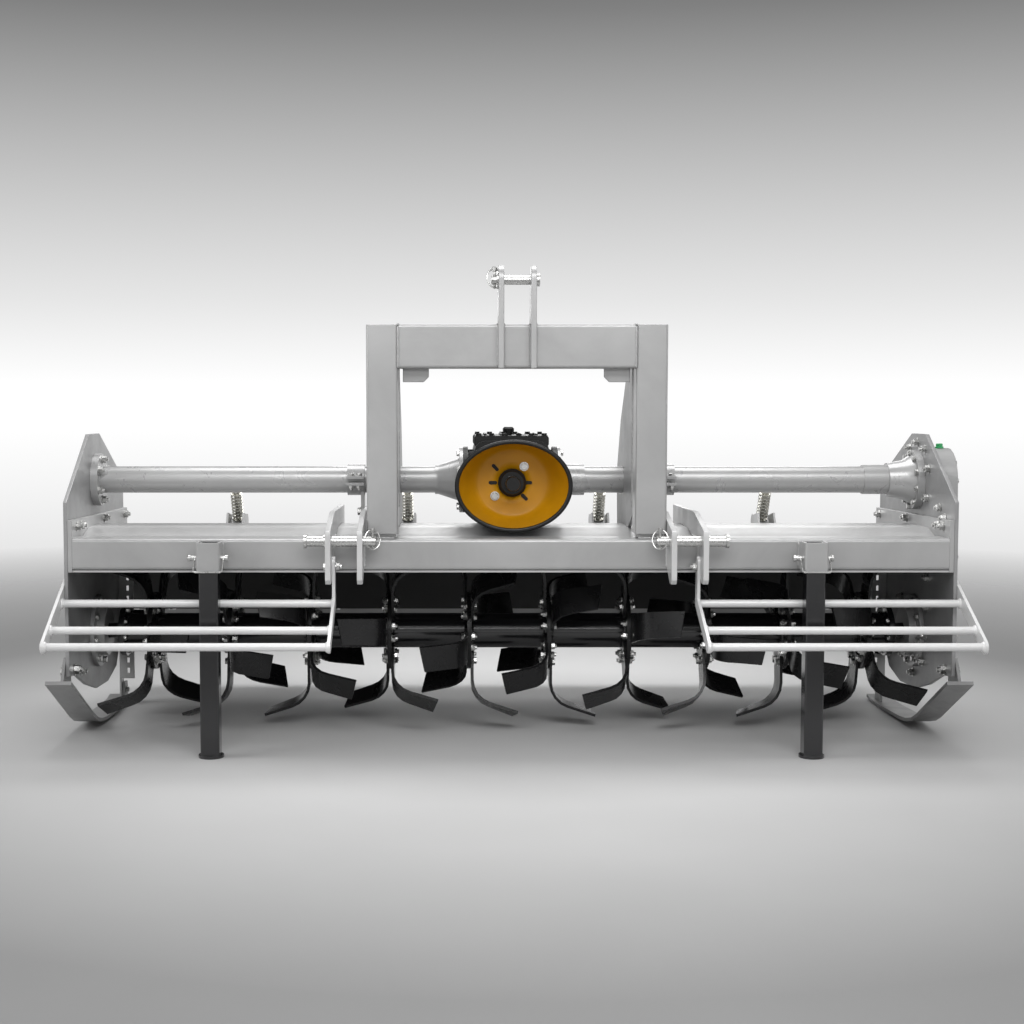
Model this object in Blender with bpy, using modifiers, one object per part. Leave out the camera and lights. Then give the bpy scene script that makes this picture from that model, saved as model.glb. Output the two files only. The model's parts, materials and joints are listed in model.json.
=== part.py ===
"""Three-point rotavator, 2.3 m class, standing on its two front legs and the heels of its skids.

Metres, +Z up, floor at z = 0. The tractor side is -Y and the rotor's axis runs along X.
Inside the machine group the main beam's front face is y = 0 and the side frame's middle is x = 0;
the group is then moved so that the whole machine's box is centred over the origin.
"""
from math import atan2, cos, pi, radians, sin

import bmesh
import bpy
from mathutils import Matrix, Vector

ROUND = 16              # sides of a round piece
ROUND_LARGE = 20
ROUND_SMALL = 10

# ---- clearances ----------------------------------------------------------------------------
GAP = 0.0003            # between faces that touch
SLIDE = 0.0007          # round a stand leg in its socket
RUNNING = 0.0006        # round a turning shaft or hinge rod

# ---- side frame ----------------------------------------------------------------------------
FRAME_WIDTH = 2.390     # over the outer faces of the side plates
SIDE_THICK = 0.010
SIDE_DEPTH = 0.735      # front edge to rear edge
SIDE_TOP = 0.848
END_THICK = 0.012       # plates that close the beam and the hood
END_TOP = 0.624

# ---- main beam and hood --------------------------------------------------------------------
BEAM_DEPTH = 0.100
BEAM_HEIGHT = 0.085
BEAM_TOP = 0.575
BEAM_WALL = 0.006
BEAM_CORNER = 0.010
HOOD_THICK = 0.005
HOOD_CREST = 0.590
HOOD_FALL = 0.012       # of the crest over its rear part

# ---- rotor and drive -----------------------------------------------------------------------
ROTOR_Y = 0.350
ROTOR_Z = 0.278
ROTOR_OFFSET = 0.006    # of the rotor's middle from the side frame's middle
ROTOR_TUBE_RADIUS = 0.0505
ROTOR_TUBE_WALL = 0.010
BLADE_SETS = 10
SET_PITCH = 0.227
FLANGE_RADIUS = 0.112
FLANGE_THICK = 0.012
BLADE_THICK = 0.008
BLADE_WIDTH = 0.080
BLADE_REACH = 0.130     # sideways from the flange
BLADE_BEND_START = 0.148
BLADE_BEND_RADIUS = 0.072
BLADE_BEND_ANGLE = radians(72)
BLADE_ROOT = 0.060
FIRST_PHASE = radians(-30)
PHASE_STEP = radians(18.3)
BEARING_RADIUS = 0.072

TUBE_Z = 0.716          # cross tube, gearbox and power shaft height
TUBE_RADIUS = 0.038
GEARBOX_OFFSET = 0.010
GEARBOX_HALF = 0.105
GEARBOX_FRONT = 0.190
GEARBOX_REAR = 0.500
GEARBOX_TOP = 0.845
GEARBOX_BOTTOM = 0.612
CASE_THICK = 0.080
CASE_TOP_RADIUS = 0.091
CASE_BOTTOM_RADIUS = 0.112
SHAFT_RADIUS = 0.0175
SHAFT_FRONT = 0.100
SHIELD_FRONT = 0.062
SHIELD_HALF_WIDTH = 0.155
SHIELD_HALF_HEIGHT = 0.121
SHIELD_DROP = 0.004     # of the shield's mouth below the shaft
SHIELD_BACK_RADIUS = 0.094
SHIELD_WALL = 0.004

SHAFT_HOLE = 0.030      # in the side plates
STUB_RADIUS = 0.022
BEARING_DEPTH = 0.034
BEARING_RING = 0.105
FLANGE_FACE = 0.095     # gearbox side flanges

# ---- headstock -----------------------------------------------------------------------------
HITCH_OFFSET = 0.0155   # of the hitch's middle from the side frame's middle
POST_INNER = 0.317
POST_WIDTH = 0.084
POST_DEPTH = 0.080
POST_FRONT = 0.004
POST_FOOT = 0.012
HEAD_TOP = 1.145
CROSS_HEIGHT = 0.1165
STAY_THICK = 0.010
STAY_REAR = 0.490
LUG_GAP = 0.071
LUG_THICK = 0.015
LUG_FRONT = -0.024
TOP_PIN_Y = 0.014
TOP_PIN_RISE = 0.117    # of the top pin above the crossbeam
TOP_PIN_RADIUS = 0.0127

# ---- lower link brackets -------------------------------------------------------------------
LINK_OFFSET = 0.0125    # of the lower links' middle from the side frame's middle
LINK_INNER = 0.4045     # inner face of the inner plate, from the links' middle
LINK_GAP = 0.069
LINK_THICK = 0.0145
LINK_FRONT = -0.092
LINK_PIN_Y = -0.050
LINK_PIN_Z = 0.573
LINK_PIN_RADIUS = 0.0143
LINK_REAR = 0.480
LINK_TOP = 0.642
LINK_BOTTOM = 0.462

# ---- front guards --------------------------------------------------------------------------
BAR_RADIUS = 0.0105
BARS = ((-0.022, 0.404), (-0.150, 0.350), (-0.215, 0.317))
ARM_THICK = 0.008

# ---- stands --------------------------------------------------------------------------------
STAND_X = 0.796
STAND_Y = -0.067
LEG_SIZE = 0.050
LEG_WALL = 0.005
LEG_TOP = 0.571
SOCKET_WALL = 0.005
SOCKET_BOTTOM = 0.493
SOCKET_HEIGHT = 0.080
FOOT_LIP = 0.009        # of a foot beyond its leg
FOOT_THICK = 0.008
STAND_PIN_Z = 0.530
STAND_PIN_RADIUS = 0.006
WIRE_RADIUS = 0.0022

# ---- skids ---------------------------------------------------------------------------------
SKID_WIDTH = 0.070
SKID_THICK = 0.010
SKID_OUTSET = {-1: 0.0135, 1: 0.003}   # of a runner beyond its side plate
STRUT_Y = 0.640
STRUT_WIDTH = 0.046
STRUT_DEPTH = 0.036
STRUT_THICK = 0.006
SLOT_LOW = 0.102
SLOT_PITCH = 0.032
SLOT_LENGTH = 0.016
SLOT_COUNT = 10

# ---- tailboard and its spring rods ---------------------------------------------------------
HINGE_Y = 0.802
HINGE_Z = 0.293
HINGE_ROD_RADIUS = 0.006
HINGE_LUGS = (-1.05, -0.525, 0.0, 0.525, 1.05)
TAIL_LENGTH = 0.220
TAIL_SLOPE = radians(-39.5)
TAIL_THICK = 0.005
EYE_ALONG = 0.090
EYE_HEIGHT = 0.036
ROD_X = (-0.820, -0.293, 0.299, 0.808)
ROD_RADIUS = 0.008
ROD_BLOCK = (0.710, 0.565)
SPRING_RADIUS = 0.019
SPRING_LENGTH = 0.096

TOP_PIN_Z = HEAD_TOP + TOP_PIN_RISE
FOOT_RADIUS = LEG_SIZE / 2 + FOOT_LIP
PLATE_INNER = FRAME_WIDTH / 2 - SIDE_THICK
BEAM_BOTTOM = BEAM_TOP - BEAM_HEIGHT
CASE_OUTER = FRAME_WIDTH / 2 + GAP + CASE_THICK

COLOURS = {
    "frame_paint": ((0.47, 0.47, 0.47), 0.38, 0.35),
    "side_paint": ((0.36, 0.36, 0.36), 0.42, 0.3),
    "bar_paint": ((0.62, 0.62, 0.62), 0.35, 0.4),
    "black_paint": ((0.018, 0.018, 0.019), 0.30, 0.2),
    "blade_paint": ((0.045, 0.05, 0.05), 0.45, 0.2),
    "cast_black": ((0.02, 0.02, 0.02), 0.7, 0.1),
    "zinc": ((0.72, 0.72, 0.70), 0.25, 1.0),
    "shield_orange": ((0.80, 0.36, 0.02), 0.45, 0.0),
    "steel": ((0.35, 0.35, 0.35), 0.35, 1.0),
}


# ---- scene and materials -------------------------------------------------------------------
def clear_scene():
    for obj in list(bpy.data.objects):
        bpy.data.objects.remove(obj, do_unlink=True)


def make_material(name):
    colour, roughness, metallic = COLOURS[name]
    material = bpy.data.materials.new(name)
    material.use_nodes = True
    shader = material.node_tree.nodes["Principled BSDF"]
    shader.inputs["Base Color"].default_value = (*colour, 1.0)
    shader.inputs["Roughness"].default_value = roughness
    shader.inputs["Metallic"].default_value = metallic
    return material


clear_scene()
MATERIALS = {name: make_material(name) for name in COLOURS}
PARTS = bpy.data.collections.new("rotavator")
bpy.context.scene.collection.children.link(PARTS)


def make_empty(name, location, parent=None):
    empty = bpy.data.objects.new(name, None)
    PARTS.objects.link(empty)
    empty.location = location
    empty.parent = parent
    return empty


# ---- shapes --------------------------------------------------------------------------------
def solid_from(obj):
    """Turn an object with its modifiers into a plain closed mesh in the machine's frame."""
    bpy.context.view_layer.update()
    graph = bpy.context.evaluated_depsgraph_get()
    mesh = bpy.data.meshes.new_from_object(obj.evaluated_get(graph))
    mesh.transform(obj.matrix_world)
    bm = bmesh.new()
    bm.from_mesh(mesh)
    bmesh.ops.remove_doubles(bm, verts=bm.verts, dist=1e-5)
    bmesh.ops.recalc_face_normals(bm, faces=bm.faces)
    bm.to_mesh(mesh)
    bm.free()
    new = bpy.data.objects.new(obj.name + "_solid", mesh)
    PARTS.objects.link(new)
    bpy.data.objects.remove(obj, do_unlink=True)
    return new


def box(x, y, z, corner=0.0, axis="X", segments=3):
    """A block between pairs of limits, its edges along one axis rounded if corner is given."""
    bm = bmesh.new()
    bmesh.ops.create_cube(bm, size=1.0)
    size = Vector((x[1] - x[0], y[1] - y[0], z[1] - z[0]))
    middle = Vector((x[1] + x[0], y[1] + y[0], z[1] + z[0])) / 2
    bmesh.ops.scale(bm, vec=size, verts=bm.verts)
    bmesh.ops.translate(bm, vec=middle, verts=bm.verts)
    if corner:
        along = "XYZ".index(axis)
        edges = [e for e in bm.edges if abs((e.verts[0].co - e.verts[1].co)[along]) > 1e-6]
        bmesh.ops.bevel(bm, geom=edges, offset=corner, segments=segments, affect="EDGES", profile=0.5)
    return add_mesh(bm)


def add_mesh(bm, name="shape"):
    mesh = bpy.data.meshes.new(name)
    bm.to_mesh(mesh)
    bm.free()
    obj = bpy.data.objects.new(name, mesh)
    PARTS.objects.link(obj)
    return obj


def cylinder(start, end, radius, segments=ROUND):
    """A cylinder between two points."""
    start, end = Vector(start), Vector(end)
    bm = bmesh.new()
    length = (end - start).length
    bmesh.ops.create_cone(bm, cap_ends=True, segments=segments, radius1=radius, radius2=radius, depth=length)
    aim = (end - start).to_track_quat("Z", "Y").to_matrix()
    bmesh.ops.rotate(bm, matrix=aim, verts=bm.verts)
    bmesh.ops.translate(bm, vec=(start + end) / 2, verts=bm.verts)
    return add_mesh(bm)


PLANES = {
    "YZ": Matrix(((0, 0, 1, 0), (1, 0, 0, 0), (0, 1, 0, 0), (0, 0, 0, 1))),
    "XZ": Matrix(((1, 0, 0, 0), (0, 0, -1, 0), (0, 1, 0, 0), (0, 0, 0, 1))),
    "XY": Matrix.Identity(4),
}


def plate(plane, outline, low, high, holes=()):
    """A flat plate: an outline in one plane, filled and given its thickness from low to high."""
    curve = bpy.data.curves.new("outline", "CURVE")
    curve.dimensions = "2D"
    curve.fill_mode = "BOTH"
    curve.extrude = (high - low) / 2
    for loop in (outline, *holes):
        spline = curve.splines.new("POLY")
        spline.points.add(len(loop) - 1)
        for point, (a, b) in zip(spline.points, loop):
            point.co = (a, b, 0.0, 1.0)
        spline.use_cyclic_u = True
    obj = bpy.data.objects.new("outline", curve)
    PARTS.objects.link(obj)
    middle = (high + low) / 2
    offset = {"YZ": (middle, 0, 0), "XZ": (0, middle, 0), "XY": (0, 0, middle)}[plane]
    obj.matrix_world = Matrix.Translation(offset) @ PLANES[plane]
    return solid_from(obj)


def arc(centre, radius, first, last, count=6):
    """Points on an arc, angles in degrees."""
    steps = [radians(first + (last - first) * i / count) for i in range(count + 1)]
    return [(centre[0] + radius * cos(a), centre[1] + radius * sin(a)) for a in steps]


def circle(centre, radius, count=ROUND):
    return arc(centre, radius, 0, 360 * (count - 1) / count, count - 1)


def strip(path, width, count=6):
    """The outline of a flat bar that follows a path, with round ends."""
    half = width / 2
    left, right = [], []
    for i, point in enumerate(path):
        before = Vector(path[max(i - 1, 0)])
        after = Vector(path[min(i + 1, len(path) - 1)])
        here = Vector(point)
        if 0 < i < len(path) - 1:
            into = (here - before).normalized()
            out = (after - here).normalized()
            side = Vector((-(into.y + out.y), into.x + out.x)).normalized()
            side /= max(side.dot(Vector((-into.y, into.x))), 0.5)
        else:
            along = (after - before).normalized()
            side = Vector((-along.y, along.x))
        left.append(here + side * half)
        right.append(here - side * half)
    first = Vector(path[0]) - Vector(path[1])
    last = Vector(path[-1]) - Vector(path[-2])
    start_angle = atan2(first.y, first.x) * 180 / pi
    end_angle = atan2(last.y, last.x) * 180 / pi
    start_cap = arc(path[0], half, start_angle - 90, start_angle + 90, count)
    end_cap = arc(path[-1], half, end_angle - 90, end_angle + 90, count)
    outline = start_cap + [tuple(p) for p in right[1:-1]]
    outline += end_cap + [tuple(p) for p in left[1:-1]][::-1]
    return outline


def around(radius, segments=ROUND_LARGE):
    """Corner radius of the polygon whose flats keep this distance from its middle."""
    return radius / cos(pi / segments)


def turned(profile, start, direction, segments=ROUND_LARGE):
    """A profile of (distance along, radius) pairs turned about an axis through start."""
    bm = bmesh.new()
    points = [bm.verts.new((radius, 0.0, along)) for along, radius in profile]
    for a, b in zip(points, points[1:]):
        bm.edges.new((a, b))
    if profile[0][1] > 0 or profile[-1][1] > 0:
        bm.edges.new((points[-1], points[0]))
    obj = add_mesh(bm)
    screw = obj.modifiers.new("turn", "SCREW")
    screw.steps = segments
    screw.render_steps = segments
    screw.use_merge_vertices = True
    screw.merge_threshold = 0.0001
    aim = Vector(direction).to_track_quat("Z", "Y").to_matrix().to_4x4()
    obj.matrix_world = Matrix.Translation(start) @ aim
    return solid_from(obj)


def combine(base, others, operation="UNION"):
    """Join other solids to the base, or cut them out of it."""
    for other in others:
        change = base.modifiers.new("shape", "BOOLEAN")
        change.operation = operation
        change.solver = "EXACT"
        change.object = other
    result = solid_from(base)
    for other in others:
        bpy.data.objects.remove(other, do_unlink=True)
    return result


def mirrored(obj, middle=0.0):
    """A copy of a solid on the other side of a plane across X."""
    mesh = obj.data.copy()
    mesh.transform(Matrix.Translation((2 * middle, 0, 0)) @ Matrix.Scale(-1, 4, (1, 0, 0)))
    mesh.flip_normals()
    copy = bpy.data.objects.new("mirrored", mesh)
    PARTS.objects.link(copy)
    return copy


def mirrored_only(obj):
    """The mirror image of a solid, which is then removed."""
    copy = mirrored(obj)
    bpy.data.objects.remove(obj, do_unlink=True)
    return copy


def part(obj, name, colour, pivot=None, parent=None):
    """Name a finished piece, put its origin on its pivot and give it its material."""
    parent = MACHINE if parent is None else parent
    pivot = Vector(pivot or (0, 0, 0))
    obj.data.transform(Matrix.Translation(-pivot))
    obj.parent = parent
    obj.location = pivot - parent_place(parent)
    obj.name = name
    obj.data.name = name
    obj.data.materials.clear()
    obj.data.materials.append(MATERIALS[colour])
    obj.data.shade_smooth()
    obj.data.set_sharp_from_angle(angle=radians(35))
    return obj


def parent_place(parent):
    """Where a parent empty stands in the machine's frame."""
    place = Vector((0, 0, 0))
    while parent is not None and parent is not MACHINE:
        place += parent.location
        parent = parent.parent
    return place


MACHINE = make_empty("machine", (0, 0, 0))


def pair(make, name, colour, middle=0.0):
    """A piece made on the right and its mirror image on the left."""
    right = make()
    left = mirrored(right, middle)
    part(left, name + "_left", colour)
    part(right, name + "_right", colour)


# ---- side frame ----------------------------------------------------------------------------
def side_outline():
    """The side plate seen from the side: sloping shoulders, a flat top and a round chin."""
    top = [(0.0, 0.672), (0.275, SIDE_TOP), (0.410, SIDE_TOP), (0.640, 0.745)]
    rear = [(SIDE_DEPTH, 0.655), (SIDE_DEPTH, 0.290)]
    chin = [(0.600, 0.132), (0.480, 0.106), (0.330, 0.112), (0.200, 0.146), (0.080, 0.193)]
    return [(0.0, 0.203)] + top + rear + chin


def make_side_plate():
    holes = [circle((ROTOR_Y, ROTOR_Z), SHAFT_HOLE), circle((ROTOR_Y, TUBE_Z), SHAFT_HOLE)]
    return plate("YZ", side_outline(), PLATE_INNER, FRAME_WIDTH / 2, holes)


def crest_line(lift=0.0):
    """The hood's crest: level over the rotor, then falling a little to the rear."""
    level = HOOD_CREST + lift
    return [(0.190, level), (0.350, level), (0.480, level - HOOD_FALL)]


def hood_line():
    """The hood's outer face from its front lip under the beam to its rear edge."""
    front = [(0.002, BEAM_BOTTOM - GAP), (BEAM_DEPTH + 0.004, BEAM_BOTTOM - GAP)]
    rise = [(BEAM_DEPTH + 0.004, BEAM_TOP - 0.012), *crest_line()]
    fall = [(0.610, 0.545), (0.735, 0.435), (HINGE_Y - 0.012, HINGE_Z - 0.008)]
    return front + rise + fall


def make_end_plate():
    """The plate that closes the beam and the hood at one end and bolts to the side plate."""
    low = [(y, z - HOOD_THICK - 0.030) for y, z in hood_line()[3:-1]]
    low = [(SIDE_DEPTH - 0.004, 0.400)] + low[::-1][1:] + [(BEAM_DEPTH + 0.030, 0.484)]
    outline = [(0.0, 0.484), (0.0, END_TOP), (SIDE_DEPTH - 0.004, END_TOP - 0.014)] + low
    return plate("YZ", outline, PLATE_INNER - GAP - END_THICK, PLATE_INNER - GAP)


def make_main_beam():
    half = PLATE_INNER - END_THICK - 2 * GAP
    z = (BEAM_BOTTOM, BEAM_TOP)
    beam = box((-half, half), (0, BEAM_DEPTH), z, BEAM_CORNER)
    hollow_y = (BEAM_WALL, BEAM_DEPTH - BEAM_WALL)
    hollow_z = (BEAM_BOTTOM + BEAM_WALL, BEAM_TOP - BEAM_WALL)
    bore = box((-half - 0.01, half + 0.01), hollow_y, hollow_z, BEAM_CORNER - BEAM_WALL, segments=2)
    return part(combine(beam, [bore], "DIFFERENCE"), "main_beam", "frame_paint")


def offset_line(line, distance):
    """The same line moved sideways by a distance, corners mitred."""
    moved = []
    for i, point in enumerate(line):
        here = Vector(point)
        into = (here - Vector(line[max(i - 1, 0)]))
        out = (Vector(line[min(i + 1, len(line) - 1)]) - here)
        into = (into if into.length else out).normalized()
        out = (out if out.length else into).normalized()
        side = Vector((into.y + out.y, -(into.x + out.x))).normalized()
        side /= max(side.dot(Vector((into.y, -into.x))), 0.5)
        moved.append(tuple(here + side * distance))
    return moved


def make_hood():
    """The folded sheet over the rotor with its tailboard hinge lugs and its spring rod brackets."""
    line = hood_line()
    half = PLATE_INNER - END_THICK - 2 * GAP
    outline = line + offset_line(line, HOOD_THICK)[::-1]
    sheet = plate("YZ", outline, -half, half)
    lugs = []
    eye = (HINGE_Y, HINGE_Z)
    for x in HINGE_LUGS:
        shape = arc(eye, 0.014, -150, 20) + [(HINGE_Y - 0.026, HINGE_Z + 0.060),
                                             (HINGE_Y - 0.037, HINGE_Z + 0.050)]
        hole = circle(eye, around(HINGE_ROD_RADIUS + RUNNING, ROUND_SMALL), ROUND_SMALL)
        lugs.append(plate("YZ", shape, x - 0.004, x + 0.004, [hole]))
    for x in ROD_X:
        lugs += make_rod_bracket(x)
    return part(combine(sheet, lugs), "hood", "frame_paint")


def rod_direction():
    """Unit vector from a spring rod's eye to its guide block, in (y, z)."""
    eye = rod_eye()
    along = Vector(ROD_BLOCK) - Vector(eye)
    return along.normalized()


def rod_eye():
    """Centre of the spring rods' eyes on the tailboard."""
    along = Vector((cos(TAIL_SLOPE), sin(TAIL_SLOPE)))
    up = Vector((-along.y, along.x))
    return tuple(Vector((HINGE_Y, HINGE_Z)) + along * EYE_ALONG + up * EYE_HEIGHT)


def make_rod_bracket(x):
    """Two lugs on the hood's rear slope with a guide block between them."""
    block_y, block_z = ROD_BLOCK
    along = rod_direction()
    tilt = Matrix.Rotation(atan2(along.y, along.x) - pi / 2, 4, "X")
    tall, half = 0.012, 0.021
    shape = [(0.600, 0.543), (0.630, 0.600)] + arc(ROD_BLOCK, 0.026, 115, -20)
    shape += [(0.738, 0.470), (0.724, 0.440)]
    lugs = []
    for side in (-1, 1):
        low = x + side * half - (0.006 if side < 0 else 0)
        lugs.append(plate("YZ", shape, low, low + 0.006))
    block = box((-half - 0.002, half + 0.002), (-0.020, 0.020), (-tall, tall))
    slot = box((-0.0145, 0.0145), (-0.0155, 0.0155), (-0.05, 0.05), 0.006, "Z", 1)
    block = combine(block, [slot], "DIFFERENCE")
    block.data.transform(Matrix.Translation((x, block_y, block_z)) @ tilt)
    return lugs + [block]


# ---- headstock -----------------------------------------------------------------------------
def make_post():
    x = (HITCH_OFFSET + POST_INNER, HITCH_OFFSET + POST_INNER + POST_WIDTH)
    y = (POST_FRONT, POST_FRONT + POST_DEPTH)
    post = box(x, y, (BEAM_TOP + POST_FOOT, HEAD_TOP), 0.008, "Z", 2)
    foot_x = (x[0] + 0.008, x[1] - 0.008)
    foot_y = (y[0] + 0.012, y[1] - 0.004)
    foot = box(foot_x, foot_y, (BEAM_TOP + GAP, BEAM_TOP + POST_FOOT + 0.01))
    return combine(post, [foot])


def make_crossbeam():
    half = POST_INNER - GAP
    x = (HITCH_OFFSET - half, HITCH_OFFSET + half)
    y = (POST_FRONT + 0.001, POST_FRONT + POST_DEPTH)
    beam = box(x, y, (HEAD_TOP - CROSS_HEIGHT, HEAD_TOP), 0.008, "X", 2)
    corners = []
    for side in (-1, 1):
        inner = HITCH_OFFSET + side * (half - 0.012)
        low = HEAD_TOP - CROSS_HEIGHT
        shape = [(0, 0.01), (0.070, 0.01), (0.070, -0.022), (0.056, -0.036), (0, -0.036)]
        outline = [(inner - side * a, low + b) for a, b in shape]
        corners.append(plate("XZ", outline, POST_FRONT + 0.044, POST_FRONT + 0.052))
    return part(combine(beam, corners), "headstock_crossbeam", "frame_paint")


def make_stay():
    """The tapering plate behind a post, from under the crossbeam down to the hood's crest."""
    front = POST_FRONT + POST_DEPTH + GAP
    top = HEAD_TOP - 0.020
    outline = [(front, BEAM_TOP + 0.060), (front, top), (front + 0.090, top)]
    outline += [(0.270, HEAD_TOP - CROSS_HEIGHT - 0.02), (0.400, HEAD_TOP - 0.255),
                (STAY_REAR, TUBE_Z + 0.030)]
    outline += [(STAY_REAR, HOOD_CREST + 0.070), crest_line(GAP)[2], crest_line(GAP)[1],
                (0.200, HOOD_CREST + GAP)]
    x = HITCH_OFFSET + POST_INNER + 0.002
    stay = plate("YZ", outline, x, x + STAY_THICK)
    hole = cylinder((x - 0.01, ROTOR_Y, TUBE_Z), (x + 0.03, ROTOR_Y, TUBE_Z), TUBE_RADIUS + GAP,
                    segments=ROUND_LARGE)
    return combine(stay, [hole], "DIFFERENCE")


def make_lug(low):
    """One top link lug, hooked over the crossbeam's front and top faces."""
    face = POST_FRONT + 0.001 - GAP
    over = HEAD_TOP + GAP
    top = arc((TOP_PIN_Y, TOP_PIN_Z), 0.038, 180, 0, 8)
    outline = [(LUG_FRONT, HEAD_TOP - CROSS_HEIGHT), (LUG_FRONT, TOP_PIN_Z)] + top[1:]
    outline += [(TOP_PIN_Y + 0.062, over), (face, over), (face, HEAD_TOP - CROSS_HEIGHT)]
    hole = circle((TOP_PIN_Y, TOP_PIN_Z), TOP_PIN_RADIUS + GAP)
    return plate("YZ", outline, low, low + LUG_THICK, [hole])


def make_top_link():
    half = LUG_GAP / 2
    part(make_lug(HITCH_OFFSET - half - LUG_THICK), "top_link_lug_left", "frame_paint")
    part(make_lug(HITCH_OFFSET + half), "top_link_lug_right", "frame_paint")
    reach = half + LUG_THICK
    head = [(0, 0), (0, 0.017), (0.009, 0.017), (0.009, TOP_PIN_RADIUS)]
    length = 2 * reach + 0.009 + 0.019
    tail = [(length - 0.002, TOP_PIN_RADIUS), (length, TOP_PIN_RADIUS - 0.002), (length, 0)]
    start = (HITCH_OFFSET + reach + GAP + 0.009, TOP_PIN_Y, TOP_PIN_Z)
    return part(turned(head + tail, start, (-1, 0, 0)), "top_link_pin", "zinc")


def make_link_plate(low):
    """One lower link plate: pin end in front of the beam, tail over the beam and the hood."""
    rim = 0.030
    beam_face, over = -GAP, BEAM_TOP + GAP
    slope = [(BEAM_DEPTH + 0.020, over), *crest_line(GAP)]
    outline = [(beam_face, over)] + slope + [(LINK_REAR, LINK_TOP - 0.006), (0.087, LINK_TOP)]
    outline += [(LINK_FRONT + 0.004, LINK_PIN_Z + rim), (LINK_FRONT, LINK_PIN_Z + 0.012)]
    outline += [(LINK_FRONT, LINK_BOTTOM + 0.012), (LINK_FRONT + 0.010, LINK_BOTTOM)]
    outline += [(LINK_FRONT + 0.034, LINK_BOTTOM), (beam_face, BEAM_BOTTOM + 0.006)]
    hole = circle((LINK_PIN_Y, LINK_PIN_Z), LINK_PIN_RADIUS + GAP)
    return plate("YZ", outline, low, low + LINK_THICK, [hole])


def make_lower_links():
    inner = LINK_INNER
    outer = LINK_INNER + LINK_THICK + LINK_GAP
    for name, low in (("inner", inner), ("outer", outer)):
        right = make_link_plate(LINK_OFFSET + low)
        left = mirrored(right, LINK_OFFSET)
        part(left, f"lower_link_plate_{name}_left", "frame_paint")
        part(right, f"lower_link_plate_{name}_right", "frame_paint")
    right = make_link_pin(outer + LINK_THICK)
    left = mirrored(right, LINK_OFFSET)
    part(left, "lower_link_pin_left", "zinc")
    part(right, "lower_link_pin_right", "zinc")


def make_link_pin(face):
    """The lower link pin with its collar, its outer stub and end flange, and its inner tail."""
    stub = 0.052
    inward = 2 * LINK_THICK + LINK_GAP + 0.036
    radius = LINK_PIN_RADIUS
    profile = [(0, 0), (0, 0.019), (0.008, 0.019), (0.008, radius), (stub, radius), (stub, 0.019)]
    profile += [(stub + 0.006, 0.019), (stub + 0.006, radius), (stub + 0.006 + inward - 0.003, radius)]
    profile += [(stub + 0.006 + inward, radius - 0.003), (stub + 0.006 + inward, 0)]
    start = (LINK_OFFSET + face + GAP + stub + 0.006, LINK_PIN_Y, LINK_PIN_Z)
    return turned(profile, start, (-1, 0, 0))


# ---- gearbox and cross tubes ---------------------------------------------------------------
def make_gearbox():
    """The cast gearbox: body, ribbed top cover, front hub and a round flange on each side."""
    middle = GEARBOX_OFFSET
    low_x, high_x = middle - GEARBOX_HALF, middle + GEARBOX_HALF
    body = box((low_x, high_x), (GEARBOX_FRONT, GEARBOX_REAR), (GEARBOX_BOTTOM, GEARBOX_TOP - 0.014), 0.030,
               "Y")
    cover_x = (low_x + 0.004, high_x - 0.004)
    cover = box(cover_x, (GEARBOX_FRONT + 0.03, GEARBOX_REAR - 0.03), (GEARBOX_TOP - 0.04, GEARBOX_TOP))
    hub = cylinder((middle, GEARBOX_FRONT - 0.012, TUBE_Z), (middle, GEARBOX_FRONT + 0.05, TUBE_Z), 0.080,
                   segments=ROUND_LARGE)
    reach = GEARBOX_HALF + 0.030
    sides = cylinder((middle - reach, ROTOR_Y, TUBE_Z), (middle + reach, ROTOR_Y, TUBE_Z), 0.078,
                     segments=ROUND_LARGE)
    cheeks = [cylinder((middle + s * (reach - 0.014), ROTOR_Y, TUBE_Z), (middle + s * reach, ROTOR_Y, TUBE_Z),
                       FLANGE_FACE, segments=ROUND_LARGE) for s in (-1, 1)]
    foot_low = HOOD_CREST + GAP
    foot = box((middle - 0.075, middle + 0.075), (GEARBOX_FRONT + 0.03, GEARBOX_REAR - 0.035),
               (foot_low, TUBE_Z))
    breather = cylinder((middle - 0.005, 0.33, GEARBOX_TOP - 0.01),
                        (middle - 0.005, 0.33, GEARBOX_TOP + 0.022), 0.009, segments=ROUND_SMALL)
    bore_end = GEARBOX_FRONT + 0.040
    bore = cylinder((middle, GEARBOX_FRONT - 0.05, TUBE_Z), (middle, bore_end, TUBE_Z),
                    around(SHAFT_RADIUS + RUNNING, ROUND))
    body = combine(body, [cover, hub, sides, *cheeks, foot, breather])
    return part(combine(body, [bore], "DIFFERENCE"), "gearbox", "cast_black")


def make_cross_tube():
    """The left carrier tube, with its cone at the gearbox and its flange at the side plate."""
    start = GEARBOX_OFFSET - GEARBOX_HALF - 0.030 - GAP
    end = -(PLATE_INNER - GAP)
    length = start - end
    tube = TUBE_RADIUS
    profile = [(0, 0), (0, FLANGE_FACE), (0.010, FLANGE_FACE), (0.010, tube + 0.024), (0.070, tube + 0.004)]
    profile += [(0.080, tube + 0.004), (0.080, tube), (length - 0.020, tube)]
    profile += [(length - 0.020, 0.075), (length, 0.075), (length, 0)]
    return part(turned(profile, (start, ROTOR_Y, TUBE_Z), (-1, 0, 0), ROUND_LARGE), "cross_tube_left",
                "frame_paint")


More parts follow.
